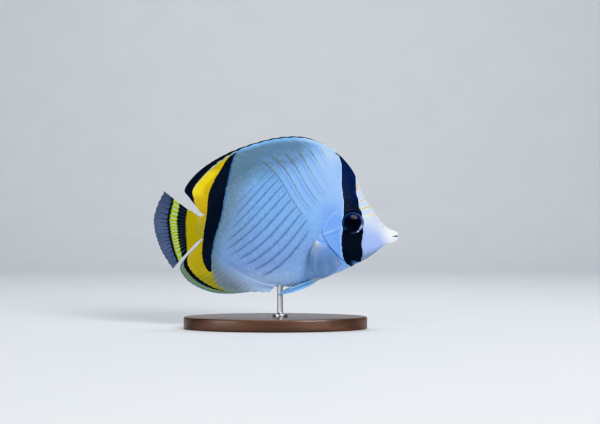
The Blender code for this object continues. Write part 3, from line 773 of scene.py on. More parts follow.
def scaleShape(corners):
    # one closed plate, 1 long and 1 wide, its free edge towards +X and its middle a little raised
    mesh = bmesh.new()
    bmesh.ops.create_circle(mesh, cap_ends=True, segments=corners, radius=0.5)
    for vertex in mesh.verts:
        vertex.co.y *= 0.86 + 0.28 * (vertex.co.x + 0.5)
    made = bmesh.ops.extrude_face_region(mesh, geom=list(mesh.faces))
    top = pushOut(mesh, made, (0, 0, coat["thick"]))
    bmesh.ops.poke(mesh, faces=top, offset=coat["crown"])
    bmesh.ops.recalc_face_normals(mesh, faces=mesh.faces)
    mesh.verts.index_update()
    spots = np.array([vertex.co[:] for vertex in mesh.verts])
    faces = [[vertex.index for vertex in one.verts] for one in mesh.faces]
    mesh.free()
    return spots, faces


def layScales(name, roots, normals, lies, lengths, widths, spot, look, lift, corners):
    # joins one copy of the plate for each root, turned along its lie
    spots, faces = scaleShape(corners)
    count, each = len(roots), len(spots)
    normals = unit(normals)
    lies = unit(lies - normals * np.sum(lies * normals, 1)[:, None])
    sides = np.cross(normals, lies)
    twist = rng.normal(0, coat["uneven"], count)[:, None]
    lies, sides = lies * np.cos(twist) + sides * np.sin(twist), sides * np.cos(twist) - lies * np.sin(twist)
    grown = rng.normal(1.0, coat["uneven"], count)
    x, y, z = (spots[None, :, axis, None] for axis in range(3))
    fullWidth, least = coat["small"]
    small = np.clip(widths / fullWidth, least, 1)[:, None, None]
    height = z - coat["thick"] + small * (lift * (x + 0.5) - coat["sink"] * (0.5 - x))
    found = roots[:, None] + mm * (
        x * (lengths * grown)[:, None, None] * lies[:, None]
        + y * (widths * grown)[:, None, None] * sides[:, None] + height * normals[:, None]
    )
    found = found.reshape(-1, 3)
    data = bpy.data.meshes.new(name)
    allFaces = [[i + k * each for i in face] for k in range(count) for face in faces]
    data.from_pydata(found.tolist(), [], allFaces)
    unwrap(data, (coat["mapped"] * spots[None, :, :2] + spot[:, None]).reshape(-1, 2))
    smooth(data, 50)
    note(
        data, spot=np.repeat(roots, each, axis=0), tone=np.repeat(rng.normal(0, 1, count), each),
        rootward=np.tile(np.clip(0.15 - spots[:, 0], 0, 1), count), gill=gillPlace(*sideView(found)),
    )
    made = newObject(name, data, look)
    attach(made, "root")
    print(name + ":", count, "scales,", sum(len(face) - 2 for face in faces) * count, "triangles")
    return made


def flankLattice(pitch, start, end, sizeKeys):
    # places in staggered rows on one flank: back, angle, size, and how near the keels
    found, back, column = [], start, 0
    lean = np.linspace(-math.pi / 2, math.pi / 2, 241)
    widest, pull, drop = coat["spread"]
    while back < end:
        size = float(keyed(sizeKeys, back)[0, 0]) if sizeKeys else 1.0
        side, up = fleshAt(np.full(len(lean), back), lean)
        girth = np.concatenate([[0], np.cumsum(np.hypot(np.diff(side), np.diff(up)))])
        half, step = girth[-1] / 2, pitch[1] * size
        reach = int(half / step) + 1
        share = (np.arange(-reach, reach + 1) + 0.5 * (column % 2)) * step / half
        upper, lower = (coat["keelEnds"][back <= keel] for keel in coat["keelStart"])
        share = share[(share < upper) & (share > -lower)]
        angles = np.interp(half * (widest * share - pull * share**3) + half, girth, lean)
        found += [(back, *row) for row in zip(angles, size * (widest - drop * share**2), share)]
        back += pitch[0] / 2 * size
        column += 1
    return np.array(found)


def makeBodyScales(look, tree):
    lobe = head["finLobe"]
    ends, behindTop, onTop = coat["overGill"]
    growth, smallest = coat["headGrow"]
    zones = (
        ("flank", coat["pitch"], coat["flankStart"], coat["end"], coat["size"]),
        ("head", coat["headPitch"], coat["start"], coat["headEnd"], None),
    )
    for word, turnSide in bothSides:
        for zone, pitch, start, end, sizeKeys in zones:
            lattice = flankLattice(pitch, start, end, sizeKeys)
            side, up = fleshAt(*lattice.T[:2])
            back = lattice[:, 0]
            across = gillPlace(back, up)
            if zone == "flank":
                keep = (across > coat["gillGap"][0]) | ((across > behindTop) & (up > ends))
            else:
                keep = (across < coat["gillGap"][1]) & ~((across > onTop) & (up > ends))
            keep &= eyeRadiusAt(back, up) > eye["radius"] + coat["eyeGap"]
            keep &= flank(back, up) > coat["thinEdge"]
            keep &= np.hypot(back - lobe[0], up - lobe[1]) > lobe[3]
            guess = place(back, up, np.abs(side) * turnSide)[keep]
            hits = [tree.find_nearest(Vector(spot)) for spot in guess]
            roots, normals = (np.array([hit[part][:] for hit in hits]) for part in (0, 1))
            sideways = np.abs(normals[:, 1]) > coat["sideways"]
            back, _, size, share = lattice[keep][sideways].T
            tilt = coat["lean"] * share**3
            grow = np.clip((back - coat["start"]) / growth, smallest, 1) if zone == "head" else 1.0
            length, width = (pitch[i] * size * coat["overlap"][i] * grow for i in (0, 1))
            halfShare = 0.25 * (1 - share)
            spot = rows(back / body["tailEnd"], halfShare if turnSide < 0 else 1 - halfShare)
            layScales(
                zone + "Scales" + word, roots[sideways], normals[sideways],
                rows(-np.cos(tilt), 0, np.sin(tilt)), length, width, spot, look, coat["lift"],
                coat["corners"],
            )


fins = {
    "dorsal": {
        "rays": (
            (42.6, 44, 57.9, 0.1), (51.5, 59.5, 64.3, 0.4), (63.5, 74.5, 64.9, 0.6), (77, 90.5, 61.8, 0.8),
            (90.5, 107.5, 56, 0.9), (102, 121.5, 49, 1), (110.8, 132.6, 40.4, 1), (117.3, 139.7, 30.4, 0.7),
            (122, 136.4, 24.6, 0.3), (126.2, 130, 16.2, 0),
        ),
        "contour": "back", "turn": 1, "spines": 13, "soft": 22, "spinyShare": 0.6, "spineNotch": 0.04,
        "softNotch": 0.014, "sheath": 1.75, "sink": 2.2, "ripple": 0.35, "rows": 44, "scaled": 0.7,
        "slot": "scaled_fin",
    },
    "anal": {
        "rays": (
            (81.2, 84, -36.9, 0), (88.5, 95.5, -36.7, 0.4), (96, 108.5, -37.8, 0.6),
            (103.8, 120, -37.2, 0.8), (110.4, 130.2, -33.8, 0.8), (116, 138.4, -28.4, 0.6),
            (120.4, 142.6, -20.6, 0.4), (123.8, 138.4, -13.6, 0.2), (127, 130, -4.9, 0),
        ),
        "contour": "belly", "turn": -1, "spines": 3, "soft": 20, "spinyShare": 0.16, "spineNotch": 0.1,
        "softNotch": 0.014, "sheath": 1.75, "sink": 2.2, "ripple": 0.35, "rows": 44, "scaled": 0.66,
        "slot": "scaled_fin",
    },
    "tail": {
        "rays": (
            (0.97, 130.6, 153.1, 29.4), (0.88, 131.6, 157.2, 21.2), (0.66, 132, 160, 12),
            (0.46, 132, 159.7, 5.8), (0.26, 132, 158.4, -0.6), (0.1, 131.6, 156.2, -7),
            (0.03, 130.6, 152.8, -13.6), (0, 129.6, 147.6, -21.6),
        ),
        "spines": 0, "soft": 17, "spinyShare": 0, "softNotch": 0.018, "sheath": 1.75, "sink": 2.6,
        "ripple": 0.5, "rows": 48, "scaled": 0.27, "slot": "tail_fin",
        "sweep": 4.0, "rootInset": 0.6, "rootSink": 1.5,
    },
    "pectoral": {
        "rays": (
            (52.2, -1.4, 56.4, -22, 6.4, 4.2), (51.1, -1.9, 53, -25.4, 4.2, 5),
            (50, -2.5, 47.6, -25.9, 2, 5.4), (49, -3.2, 41.6, -22.6, 0.4, 5.2),
            (47.9, -3.9, 36.8, -17.6, 0, 4.6),
        ),
        "spines": 0, "soft": 15, "spinyShare": 0, "softNotch": 0.02, "sheath": 0.8, "sink": 0, "ray": 0.14,
        "ripple": 0.2, "rows": 40, "slot": "clear_fin",
    },
    "pelvic": {
        "rays": (
            (49.8, -27, 70.6, -36.9, -3.2, 2.4), (50.8, -26.9, 78.6, -38.3, -2.6, 2.8),
            (51.8, -26.8, 75, -35.9, -1.6, 3.2), (52.8, -26.7, 69.5, -33.2, -0.6, 3.4),
        ),
        "spines": 1, "soft": 5, "spinyShare": 0.2, "spineNotch": 0.02, "softNotch": 0.03, "sheath": 0.8,
        "sink": 0, "ripple": 0.1, "rows": 40, "slot": "pale_fin",
    },
    "sheathReach": 0.42,
    "web": 0.1,
    "ray": 0.27,
    "spine": 0.5,
    "spineWidth": 0.13,
    "rayWidth": (0.16, 0.09),  # at the root, and its loss towards the tip
    "tipLoss": (0.5, 0.45),  # of the thickness of spines and of soft rays
    "fray": ((0.004, 37, 0), (0.003, 61, 1)),  # of the outer edge: depth, rate and start
    "waves": (19, 2),  # of the ripple, across the fin and along its rays
    "forks": ((0.25, 0.34, 0.66), (0.115, 0.62, 0.38)),  # how far they spread, from where, over how much
    "columns": 16,
    "pairedSink": 1.4,
    "tipThin": (0.9, 0.1),  # share of a ray where its tip thins, and over how much
}

# scales on the fins' bases
finCoat = {
    "pitch": 1.25,
    "start": 2.6,  # before the flesh's edge
    "size": (2.0, 1.6),  # length and width
    "shrink": (1.05, 0.35),  # share at the root, and loss towards the last row
    "lift": 0.1,
    "corners": 7,
    "step": 0.03,  # share of a ray along which the lie is measured
    "onFlesh": (0.15, 0.22, 1.5, 1.1),  # height there, its drop, from where, over how much
    "steep": 0.4,
}


def bezier(root, waist, tip, v):
    v = v[:, None]
    return (1 - v) ** 2 * root + 2 * v * (1 - v) * waist + v * v * tip


def bowed(root, tip, arch):
    along = unit(tip - root)
    return (root + tip) / 2 + arch[:, None] * rows(-along[:, 1], along[:, 0])


def medianAt(fin):
    def at(u, v):
        rootBack, tipBack, tipUp, arch = keyed(numbered(fin["rays"]), u).T
        root, tip = rows(rootBack, contour(fin["contour"], rootBack)), rows(tipBack, tipUp)
        root = root - unit(tip - root) * fin["sink"]
        return place(*bezier(root, bowed(root, tip, fin["turn"] * 2 * arch), tip, v).T)
    return at


def tailAt(u, v):
    fin = fins["tail"]
    share, rootBack, tipBack, tipUp = keyed(numbered(fin["rays"]), u).T
    top, bottom = contour("back", body["fleshEnd"]), contour("belly", body["fleshEnd"])
    rootUp = bottom + fin["rootInset"] + (top - bottom - 2 * fin["rootInset"]) * share
    root = place(rootBack - fin["rootSink"], rootUp)
    waist = place((rootBack + tipBack) / 2, (rootUp + tipUp) / 2, 0.15 * fin["sweep"])
    return bezier(root, waist, place(tipBack, tipUp, fin["sweep"]), v)


def pairedAt(fin, side):
    def at(u, v):
        rootBack, rootUp, tipBack, tipUp, arch, flare = keyed(numbered(fin["rays"]), u).T
        reach = flank(rootBack, rootUp)
        middle = bowed(rows(rootBack, rootUp), rows(tipBack, tipUp), arch)
        root = place(rootBack, rootUp, side * (reach - fins["pairedSink"]))
        waist = place(*middle.T, side * (reach + 0.8 * flare))
        return bezier(root, waist, place(tipBack, tipUp, side * (reach + flare)), v)
    return at


def rayPlaces(fin):
    spines, soft, share = fin["spines"], fin["soft"], fin["spinyShare"]
    spiny = [share * i / spines for i in range(spines)]
    return np.array(spiny + [share + (1 - share) * i / (soft - 1) for i in range(soft)])


def finHalf(fin, number, spiny, v, length):
    # half thickness and ray share at a place between rays and along them
    away = np.abs(number - np.round(number))
    for spread, start, run in fins["forks"]:
        away = np.abs(away - np.where(spiny, 0, spread * ease((v - start) / run)))
    (wide, narrowing), (spineLoss, rayLoss) = fins["rayWidth"], fins["tipLoss"]
    ridge = swell(away, np.where(spiny, fins["spineWidth"], wide - narrowing * v))
    soft = fin.get("ray", fins["ray"]) * (1 - rayLoss * v)
    tall = np.where(spiny, fins["spine"] * (1 - spineLoss * v), soft)
    slim = fins["web"] + ridge * (tall - fins["web"])
    edge = np.minimum(fin["sink"] / length, 0.5)  # share of a ray that lies inside the flesh
    sheath = np.clip(1 - np.clip(v - edge, 0, None) / fins["sheathReach"], 0, None) ** 1.8
    return slim + (fin["sheath"] - slim) * sheath, ridge


def rayLength(at, u):
    steps = np.linspace(0, 1, 60)
    span = np.linalg.norm(at(steps, np.ones(60)) - at(steps, np.zeros(60)), axis=1) / mm
    return np.interp(u, steps, span)


def rimAway(at, found):
    # how far places are from the fin's outer edge, from its first to its last ray
    margin = rows(*sideView(at(np.linspace(0, 1, 300), np.ones(300))))
    return awayFrom(margin, *sideView(found))[1]


def makeFin(kind, at, look, side=""):
    fin, name, node = fins[kind], kind + "Fin" + side, kind + "_fin" + (side and "_" + side.lower())
    places = rayPlaces(fin)
    gaps = len(places) - 1
    mesh = bmesh.new()
    bmesh.ops.create_grid(mesh, x_segments=gaps * fins["columns"], y_segments=fin["rows"], size=0.5)
    data = newMesh(name, mesh)
    across, outward, _ = points(data).T + 0.5
    number = across * gaps
    phase = number - np.round(number)
    spiny = np.round(number) < fin["spines"]
    u = np.interp(number, np.arange(gaps + 1), places)
    notch = np.where(number < fin["spines"], fin.get("spineNotch", 0), fin["softNotch"])
    fray = sum(deep * np.sin(number * rate + start) for deep, rate, start in fins["fray"])
    v = outward * np.minimum(1 - notch * np.abs(2 * phase) ** 1.6 + fray * ~spiny, 1)
    found = at(u, v)
    acrossRate, alongRate = fins["waves"]
    found[:, 1] += np.sin(u * acrossRate + v * alongRate) * fin["ripple"] * v**2 * mm
    movePoints(data, found)
    length = rayLength(at, u)
    half, ridge = finHalf(fin, number, spiny, outward, length)
    start, run = fins["tipThin"]
    half = half * (1 - 0.5 * ease((outward - start) / run))
    note(
        data, ray=ridge, along=u, outward=outward, rim=rimAway(at, found), inward=(1 - outward) * length,
        spot=found, gill=np.full(len(u), head["gillFar"]),
    )
    data.shade_smooth()
    made = newObject(name, data, look)
    thick = half.max()
    group = made.vertex_groups.new(name="thickness")
    for i, value in enumerate(half / thick):
        group.add([i], float(value), "REPLACE")
    solid = made.modifiers.new("thickness", "SOLIDIFY")
    solid.thickness = 2 * thick * mm
    solid.offset = 0
    solid.vertex_group = "thickness"
    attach(made, "root")
    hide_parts(node)
    print(name + ":", len(data.polygons) * 2, "faces")


def makeFinScales(kind, at, look, tree):
    # small scales over the base of a fin, in rows along its rays, on both faces
    fin, step, found = fins[kind], finCoat["pitch"], []
    shares = np.linspace(0, 1, 400)
    spread = np.linalg.norm(np.diff(at(shares, np.full(400, 0.3)), axis=0), axis=1)
    run = np.concatenate([[0], np.cumsum(spread)]) / mm
    for column in range(int(run[-1] / step * 2)):
        u = float(np.interp(column * step / 2, run, shares))
        length = float(rayLength(at, u))
        height = fin["sink"] - finCoat["start"] + 0.5 * step * (column % 2)
        while height < length * fin["scaled"]:
            found.append((u, height / length))
            height += step
    u, v = np.array(found).T
    root = at(u, v)
    lie = at(u, v + finCoat["step"]) - root
    length = rayLength(at, u)
    places = rayPlaces(fin)
    number = np.interp(u, places, np.arange(len(places)))
    spiny = number < fin["spines"]
    half, beyond = (finHalf(fin, number, spiny, far, length)[0] for far in (v, v + finCoat["step"]))
    slope = np.clip(half - beyond, 0, None) * mm / np.linalg.norm(lie, axis=1)
    full, loss = finCoat["shrink"]
    size = full - loss * v / fin["scaled"]
    high, drop, start, fade = finCoat["onFlesh"]
    raised = high - drop * np.clip((fin["sink"] - start - v * length) / fade, 0, 1)
    for word, side in bothSides:
        roots = root + rows(0, side * half * mm, 0)
        normals = unit(lie) * slope[:, None] + [0, side, 0]
        for i, spot in enumerate(roots):
            outside = Vector((spot[0], side * 0.05, spot[2]))
            hit, normal, _, _ = tree.ray_cast(outside, Vector((0, -side, 0)))
            if hit and side * (hit.y - spot[1]) > 0:
                roots[i] = hit + Vector((0, side * raised[i] * mm, 0))
                if abs(normal.y) > finCoat["steep"]:
                    normals[i] = normal
        halfShare = 0.49 * v
        made = layScales(
            kind + "Scales" + word, roots, normals, lie, finCoat["size"][0] * size,
            finCoat["size"][1] * size, rows(u, halfShare if side < 0 else 1 - halfShare), look,
            finCoat["lift"], finCoat["corners"],
        )
        each = len(made.data.vertices) // len(roots)
        values = {"rim": rimAway(at, roots), "along": u, "inward": (1 - v) * length, "outward": v}
        note(made.data, **{key: np.repeat(value, each) for key, value in values.items()})


# Bands of the fins, at shares along the fin
finMarks = {
    "dorsalBand": (  # width of the black band
        (0, 1.9), (0.15, 1.7), (0.3, 1.5), (0.4, 1.6), (0.453, 2.2), (0.52, 3.5), (0.59, 4.6), (0.657, 5.8),
        (0.72, 5.9), (0.78, 5.6), (0.86, 4.1), (0.922, 1.8), (0.97, 0.4), (1, 0.1),
    ),
    "analLine": (  # middle of the black line
        (0, 1.6), (0.3, 3.2), (0.425, 3.9), (0.537, 4.6), (0.635, 5), (0.73, 4.5), (0.835, 2.1),
        (0.9, 0.6), (1, 0),
    ),
    "analLineHalf": (
        (0, 0), (0.26, 0), (0.36, 0.35), (0.5, 0.95), (0.62, 1.3), (0.76, 1.35), (0.86, 0.9),
        (0.93, 0.45), (1, 0.3),
    ),
    "tailInner": ((0, 0.34), (0.15, 0.275), (0.37, 0.24), (0.7, 0.285), (0.86, 0.36), (1, 0.48)),
    "tailOuter": ((0, 0.785), (0.23, 0.685), (0.4, 0.67), (0.62, 0.68), (0.82, 0.735), (1, 0.825)),
}


finSurface = {"scaled": (0.48, 0.5, 0.04, 0.5), "bare": (0.4, 0.4, 0.03, 0.4)}


def setFin(look, kind, **more):
    rough, size, height, strength = finSurface[kind]
    bump = look.bump(look.noise(look.here, size), height, strength)
    look.set(Base_Color=look.colour, Roughness=rough + look.wander * 0.1, Normal=bump, **more)
    return look


def makeDorsalLook():
    look = markedLook("dorsalFin", Specular_IOR_Level=0.2)
    layFlesh(look)
    up, along, rim, ray, inward = look.up, *look.attributes("along", "rim", "ray", "inward")
    inside = inward - along.follow(finMarks["dorsalBand"]) + look.wander * 0.5
    lit = up.step(24, 29) * up.step(45, 40) * inside.step(9, 4.5)
    look.lay(lit * (1 - look.dark) * 0.85, "yellowLit")
    # painted sheen: a pale strip along the inner edge of the black band
    sheenStrip = inside.band(-0.2, 1.1, 0.4) * along.step(0.4, 0.5) * along.step(0.86, 0.6)
    look.lay(sheenStrip * 0.75, (112, 152, 158))
    black = inside.step(0.25, -0.25)
    look.lay(black, look.mix(along.step(0.3, 0.2), "bar", "outline"))
    look.lay(rim.step(0.5, 0.22) * along.step(0.42, 0.55), (176, 196, 226))
    # painted highlight along the fin's front edge, running on to the nape
    bright = rim.step(4.2, 1) * along.step(0.52, 0.36) * (1 - black)
    look.lay(bright * 0.75, look.mix(along.step(0.22, 0.08), "ridge", "nape"))
    # painted highlight along the rays
    look.lay(ray * 0.05 * (1 - look.dark.most(black)), "white")
    layScaleTone(look)
    return setFin(look, "scaled")


def makeAnalLook():
    look = markedLook("analFin", Specular_IOR_Level=0.2)
    layFlesh(look)
    up, along, rim, ray = look.up, *look.attributes("along", "rim", "ray")
    inward, outward = look.attributes("inward", "outward")
    ahead = look.spotBack - look.spotUp.follow(marks["rearBarFront"])
    behind = look.spotBack - look.spotUp.follow(marks["rearBarRear"])
    gold = (along + outward * 0.64).step(0.8, 0.92) * up.step(-21, -24)
    look.lay(gold.most(behind.step(-0.3, 0.3)), look.mix(up.step(-22, -29), "yellowLow", (118, 112, 4)))
    bar = ahead.step(-0.1, 0.1) * behind.step(0.1, -0.1) * look.spotUp.step(-23.7, -23.5)
    look.lay(bar, "bar")
    away = inward - along.follow(finMarks["analLine"]) + look.wander * 0.4
    stripes = rim * 0.55
    striped = abs(stripes - stripes.nearest()).step(0.14, 0.3)
    margin = look.mix(striped, (104, 114, 44), (64, 100, 102))
    look.lay(away.step(0.3, -0.3) * along.step(0.12, 0.36), margin)
    line = (abs(away) - along.follow(finMarks["analLineHalf"])).step(0.2, -0.2) * along.step(0.27, 0.36)
    look.lay(line, "bar")
    look.lay(rim.step(0.45, 0.2) * 0.8, (136, 166, 200))
    # painted highlight along the rays
    look.lay(ray * 0.05 * (1 - line.most(bar)), "white")
    layScaleTone(look)
    return setFin(look, "scaled")


def makeTailLook():
    look = markedLook("tailFin", Specular_IOR_Level=0.2)
    ray, along, outward = look.attributes("ray", "along", "outward")
    inner, outer = (along.follow(finMarks[name]) for name in ("tailInner", "tailOuter"))
    share = (outward - inner) / (outer - inner) + look.wander * 0.06 + (ray - 0.5) * 0.07
    stops = [
        (0.238, "yellowLow"), (0.262, "bar"), (0.485, "bar"), (0.515, "tailGreen"), (0.672, "tailGreen"),
        (0.695, "bar"), (0.74, "bar"), (0.765, (38, 50, 78)), (1, (52, 62, 80)),
    ]
    look.colour = look.add("ShaderNodeValToRGB", {"stops": stops}, {0: (share + 0.5) * 0.5})
    look.lay(ray * (share.step(0.5, 0.56) * share.step(0.88, 0.82)) * 0.62, (160, 196, 190))
    dim = share.step(0.1, 0.5) * share.step(0.52, 0.48) * along.step(0.3, 0.8)
    look.lay(ray * dim * 0.4, (120, 126, 60))
    look.lay(ray * share.band(0.06, 0.44, 0.04) * 0.3, (60, 78, 112))
    far = share.step(1, 1.08)
    look.lay(ray * far * 0.46, (106, 124, 166))
    look.lay(along.step(0.4, 0) * far * 0.35, (10, 16, 34))
    layScaleTone(look)
    return setFin(look, "scaled", Alpha=1 - ray.step(0.5, 0.15) * far * 0.22)


def makePectoralLook():
    look = markedLook("pectoralFin", Specular_IOR_Level=0.3)
    ray, outward, along = look.attributes("ray", "outward", "along")
    look.colour = look.mix(outward.step(0.1, 0.7), (104, 140, 196), (84, 114, 154))
    look.lay(outward.step(0.5, 0.16) * along.step(0.55, 0.05) * 0.7, (146, 142, 128))
    look.lay(outward.step(0.16, 0.06) * along.step(0.5, 0.1) * 0.8, (196, 212, 246))
    look.lay(ray * 0.05, (132, 160, 206))
    solid = 0.6 + ray * 0.1 + outward.step(0.3, 0.06) * 0.5
    return setFin(look, "bare", Alpha=solid.least(1))


def makePelvicLook():
    look = markedLook("pelvicFin", Specular_IOR_Level=0.3)
    ray, outward, along = look.attributes("ray", "outward", "along")
    middle = abs(along - 0.5).step(0.45, 0.15) * outward.step(0.15, 0.4)
    look.colour = look.mix(middle * 0.85, (140, 196, 242), (76, 144, 212))
    look.lay(outward.step(0.22, 0.08) * 0.5, (206, 194, 140))
    look.lay(ray * 0.25, (226, 240, 255))
    return setFin(look, "bare", Alpha=(0.8 + ray * 0.3).least(1))


# Eyes
def eyeFrame(side):
    turn = math.radians(eye["turn"])
    axis = Vector((math.sin(turn), side * math.cos(turn), 0))
    back, up = eye["place"]
    centre = Vector(place(back, up, side * float(flank(back, up)[0] - eye["depth"])))
    return Matrix.Translation(centre) @ Vector((0, 0, 1)).rotation_difference(axis).to_matrix().to_4x4()


def spun(name, profile, sides, turned, look, sharp, mapped=None):
    # solid of revolution from (radius, height) points about its own axis, then set in place
    mesh = bmesh.new()
    line = [mesh.verts.new((radius * mm, 0, height * mm)) for radius, height in profile]
    edges = [mesh.edges.new(pair) for pair in zip(line, line[1:])]
    bmesh.ops.spin(
        mesh, geom=line + edges, axis=(0, 0, 1), cent=(0, 0, 0), steps=sides, angle=2 * math.pi,
        use_merge=True,
    )
    bmesh.ops.remove_doubles(mesh, verts=mesh.verts, dist=1e-6)
    if mapped:
        layer, width = mesh.loops.layers.uv.new(mapped), eye["mapWidth"] * mm
        for loop in (loop for face in mesh.faces for loop in face.loops):
            at = loop.vert.co
            loop[layer].uv = (at.x / width + 0.5, at.y / width + 0.5)
    bmesh.ops.transform(mesh, verts=mesh.verts, matrix=turned)
    return finish(name, mesh, look, sharp)


def makeEyeLook():
    look = Look("eyeBall", Specular_IOR_Level=0.04)
    x, y, _ = look.parts(look.add("ShaderNodeUVMap", {"uv_map": "eyeMap"}, {}))
    ahead, above = ((part - 0.5) * eye["mapWidth"] for part in (x, y))

    def away(x, y):
        return ((ahead - x) * (ahead - x) + (above - y) * (above - y)).root()

    radius, pupil = away(0, 0), eye["pupil"]
    streaks = look.noise(look.place(), 0.5, 3, 0.7)
    # painted sheen: the top of the iris bluer
    look.colour = look.mix(above.step(0, 6), (4, 5, 12), (14, 20, 50))
    look.lay((streaks - 0.45) * 0.3, (60, 54, 72))
    look.lay(radius.band(pupil + 0.15, pupil + 0.45, 0.12) * 0.3, (52, 40, 40))
    crescent = away(-1.6, 0.1).step(6.4, 7.2)
    look.lay(crescent * (0.7 + streaks * 0.3), (76, 88, 126))
    look.lay(away(5.4, -1.8).step(2.4, 0.8) * crescent * 0.7, (160, 176, 210))
    shine = radius.band(6.5, 6.9, 0.12) * (ahead * 0.6 - above).step(2, -3)
    look.lay(shine * 0.4, (84, 128, 190))
    # painted glints on the eye's lower rear and lower front
    look.lay(away(-4.5, -4.7).step(1.3, 0.4) * 0.5, (50, 100, 170))
    look.lay(away(4.4, -5).step(1.1, 0.3) * 0.9, (190, 222, 252))
    look.lay(radius.step(pupil + 0.1, pupil - 0.1), (0, 1, 4))
    look.set(Base_Color=look.colour, Roughness=0.3 + streaks * 0.1)
    return look


def makeCorneaLook():
    look = Look("cornea")
    clear = look.add("ShaderNodeBsdfTransparent", {}, {0: "white"})
    gloss = look.add("ShaderNodeBsdfGlossy", {}, {"Color": "white", "Roughness": 0.03})
    edge = look.add("ShaderNodeFresnel", {}, {"IOR": 1.13})
    mixed = look.add("ShaderNodeMixShader", {}, {0: edge, 1: clear, 2: gloss})
    look.feed(look.tree.nodes["Material Output"].inputs["Surface"], mixed)
    return look


def makeEyes():
    ball, clear = makeEyeLook(), makeCorneaLook()
    radius, front, rear, pupil = eye["radius"] - eye["gap"], eye["front"], eye["rear"], eye["pupil"]
    thick = eye["corneaThick"]
    shell = arc(0, 0, radius, rear, -90, -7.5, 12)
    iris = [(radius, 0), (radius - 0.1, 0.35), (radius - 0.5, 0.62), (5.2, 0.95), (4, 1.2)]
    iris += [(pupil + 0.25, 1.32), (pupil + 0.05, 1.28)]
    lens = arc(0, 1.2, pupil, 0.85, 8, 90, 9)
    outer = arc(0, thick, radius, front - thick, 90, 0, 19)
    inner = [(max(x - thick, 0), y - 0.1) for x, y in reversed(outer)]
    inner[-1] = (0, inner[-1][1])
    for word, side in bothSides:
        turned = eyeFrame(side)
        made = spun("eyeBall" + word, shell + iris + lens, eye["sides"], turned, ball, 50, "eyeMap")
        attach(made, "root")
        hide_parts("eye_" + word.lower())
        made = spun("cornea" + word, outer + inner, eye["sides"], turned, clear, 50)
        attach(made, "root")
    print("eyes set in")


# Display stand
stand = {
    "length": 120, "depth": 64, "height": 8.0, "sides": 160, "bevel": 1.2, "rodBack": 77, "rodRadius": 1.9,
    "footRadius": 5.0, "footHeight": 1.9, "footRound": 0.5, "footChamfer": 0.15,
    "rodFillet": 0.8, "rodInFlesh": 0.6,
}


def makeWoodLook():
    look = Look("darkWood", Coat_Weight=0.45, Coat_Roughness=0.18)
    here = look.place()
    stretched = look.add("ShaderNodeMapping", {}, {0: here, "Scale": (0.09, 1.0, 1.0)})
    _, y, z = look.parts(here)
    rings = (y * 420 + z * 260 + look.noise(stretched, 9, 3) * 9).sine() * 0.5 + 0.5
    fibre = look.noise(stretched, 0.55, 4, 0.7)
    pores = fibre.step(0.62, 0.72)
    look.colour = look.mix(rings * 0.6 + fibre * 0.4, (44, 26, 17), (88, 55, 34))
    look.lay(pores * 0.6, (20, 12, 8))
    bump = look.bump(fibre - pores * 0.6, 0.04, 0.4)
    look.set(Base_Color=look.colour, Roughness=0.36 + fibre * 0.16, Normal=bump)
    return look


def makeSteelLook():
    look = Look("brushedSteel", Metallic=1.0)
    stretched = look.add("ShaderNodeMapping", {}, {0: look.place(), "Scale": (0.06, 0.06, 1.0)})
    brushed = look.noise(stretched, 0.12, 3, 0.6)
    colour = look.mix(brushed, (150, 152, 156), (196, 198, 202))
    look.set(Base_Color=colour, Roughness=0.22 + brushed * 0.2, Normal=look.bump(brushed, 0.01, 0.3))
    return look


def makeStand(tree):
    mesh = bmesh.new()
    bmesh.ops.create_circle(mesh, cap_ends=True, radius=0.5, segments=stand["sides"])
    bmesh.ops.scale(mesh, vec=(stand["length"] * mm, stand["depth"] * mm, 1), verts=mesh.verts)
    made = bmesh.ops.extrude_face_region(mesh, geom=list(mesh.faces))
    pushOut(mesh, made, (0, 0, stand["height"] * mm))
    rims = [edge for edge in mesh.edges if abs(edge.verts[0].co.z - edge.verts[1].co.z) < 1e-9]
    bmesh.ops.bevel(
        mesh, geom=rims, offset=stand["bevel"] * mm, affect="EDGES", segments=5, profile=0.5, material=-1,
    )
    base = finish("standBase", mesh, makeWoodLook(), 30)
    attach(base, "root")
    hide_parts("stand_base")

    foot, radius, wide = stand["height"], stand["rodRadius"], stand["footRadius"]
    rim, bend, fillet = foot + stand["footHeight"], stand["footRound"], stand["rodFillet"]
    chamfer = stand["footChamfer"]
    x = (body["mouth"][0] - stand["rodBack"]) * mm
    hit = tree.ray_cast(Vector((x, 0, foot * mm)), Vector((0, 0, 1)))
    top = hit[0].z / mm + stand["rodInFlesh"]
    profile = [
        (0, foot), (wide - chamfer, foot), (wide, foot + chamfer), (wide, rim - bend),
        *arc(wide - bend, rim - bend, bend, bend, 30, 90, 3), (radius + fillet, rim),
        *arc(radius + fillet, rim + fillet, fillet, fillet, 240, 180, 3), (radius, top), (0, top),
    ]
    rod = spun("standRod", profile, 64, Matrix.Translation((x, 0, 0)), makeSteelLook(), 30)
    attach(rod, "root")
    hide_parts("stand_rod")
    print("stand made")


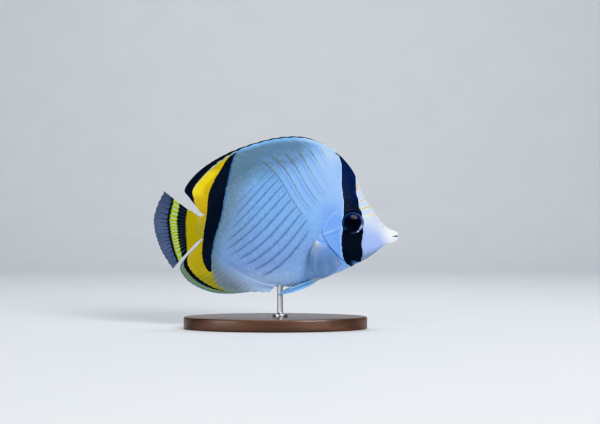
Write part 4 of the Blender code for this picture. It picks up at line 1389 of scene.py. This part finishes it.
# Camera, light and floor
studio = {
    "lens": 85, "sensor": 36, "nearest": 0.01, "camera": (0.016, -0.9256, 0.0762),
    "background": (0.82, 0.85, 0.9), "backgroundStrength": 0.34,
    "lamps": (  # name, place, aim, size, watts, colour
        ("key", (0.52, -0.88, 0.6), (0, 0, 0.07), 0.5, 14, (1, 0.98, 0.96)),
        ("fill", (-0.8, -0.85, 0.26), (0, 0, 0.07), 0.7, 4.8, (0.98, 0.99, 1)),
        ("top", (0.05, 0.2, 0.95), (0, 0, 0.07), 0.6, 3.2, (1, 1, 1)),
        ("backdrop", (0, 0.3, 1.3), (0, 1.35, 0.3), 0.9, 6, (1, 1, 1)),
    ),
    "floor": (-3.0, 6.0, -2.5),  # its left side, width and front, in metres
    "bend": 0.5, "wall": 0.9, "wallTop": 2.6,
}


def makeStudio():
    data = bpy.data.cameras.new("camera")
    data.lens, data.sensor_width, data.clip_start = studio["lens"], studio["sensor"], studio["nearest"]
    camera = newObject("camera", data)
    camera.location = studio["camera"]
    camera.rotation_euler = (math.radians(90), 0, 0)
    scene.camera = camera
    for name, spot, target, size, watts, colour in studio["lamps"]:
        light = bpy.data.lights.new(name, "AREA")
        light.shape = "DISK"
        light.size, light.energy, light.color = size, watts, colour
        lamp = newObject(name, light)
        lamp.location = spot
        lamp.rotation_euler = (Vector(target) - Vector(spot)).to_track_quat("-Z", "Y").to_euler()
    world = bpy.data.worlds.new("studio")
    world.use_nodes = True
    shade = world.node_tree.nodes["Background"]
    shade.inputs["Color"].default_value = (*studio["background"], 1.0)
    shade.inputs["Strength"].default_value = studio["backgroundStrength"]
    scene.world = world
    scene.view_settings.view_transform = "Khronos PBR Neutral"

    look = Look("paleFloor", Roughness=0.65)
    look.set(Base_Color=look.mix(look.noise(look.place(), 60, 3), (206, 211, 216), (214, 218, 222)))
    mesh = bmesh.new()
    left, width, front = studio["floor"]
    bend, wall = studio["bend"], studio["wall"]
    line = [(front, 0), *arc(wall, bend, bend, bend, -90, 0, 17), (wall + bend, studio["wallTop"])]
    chain = [mesh.verts.new((left, y, z)) for y, z in line]
    edges = [mesh.edges.new(pair) for pair in zip(chain, chain[1:])]
    pushOut(mesh, bmesh.ops.extrude_edge_only(mesh, edges=edges), (width, 0, 0))
    finish("floor", mesh, look, 60)
    print("studio set")


makeStudio()
skinLook = makeSkinLook()
skinTree = makeSkin(skinLook)
makeBodyScales(skinLook, skinTree)
makeEyes()
medianFins = {
    "dorsal": (medianAt(fins["dorsal"]), makeDorsalLook()),
    "anal": (medianAt(fins["anal"]), makeAnalLook()),
    "tail": (tailAt, makeTailLook()),
}
for kinds in (("dorsal", "anal"), ("tail",)):
    for kind in kinds:
        makeFin(kind, *medianFins[kind])
    for kind in kinds:
        makeFinScales(kind, *medianFins[kind], skinTree)
pairedLooks = {"pectoral": makePectoralLook(), "pelvic": makePelvicLook()}
for word, side in bothSides:
    for kind, look in pairedLooks.items():
        makeFin(kind, pairedAt(fins[kind], side), look, word)
makeStand(skinTree)
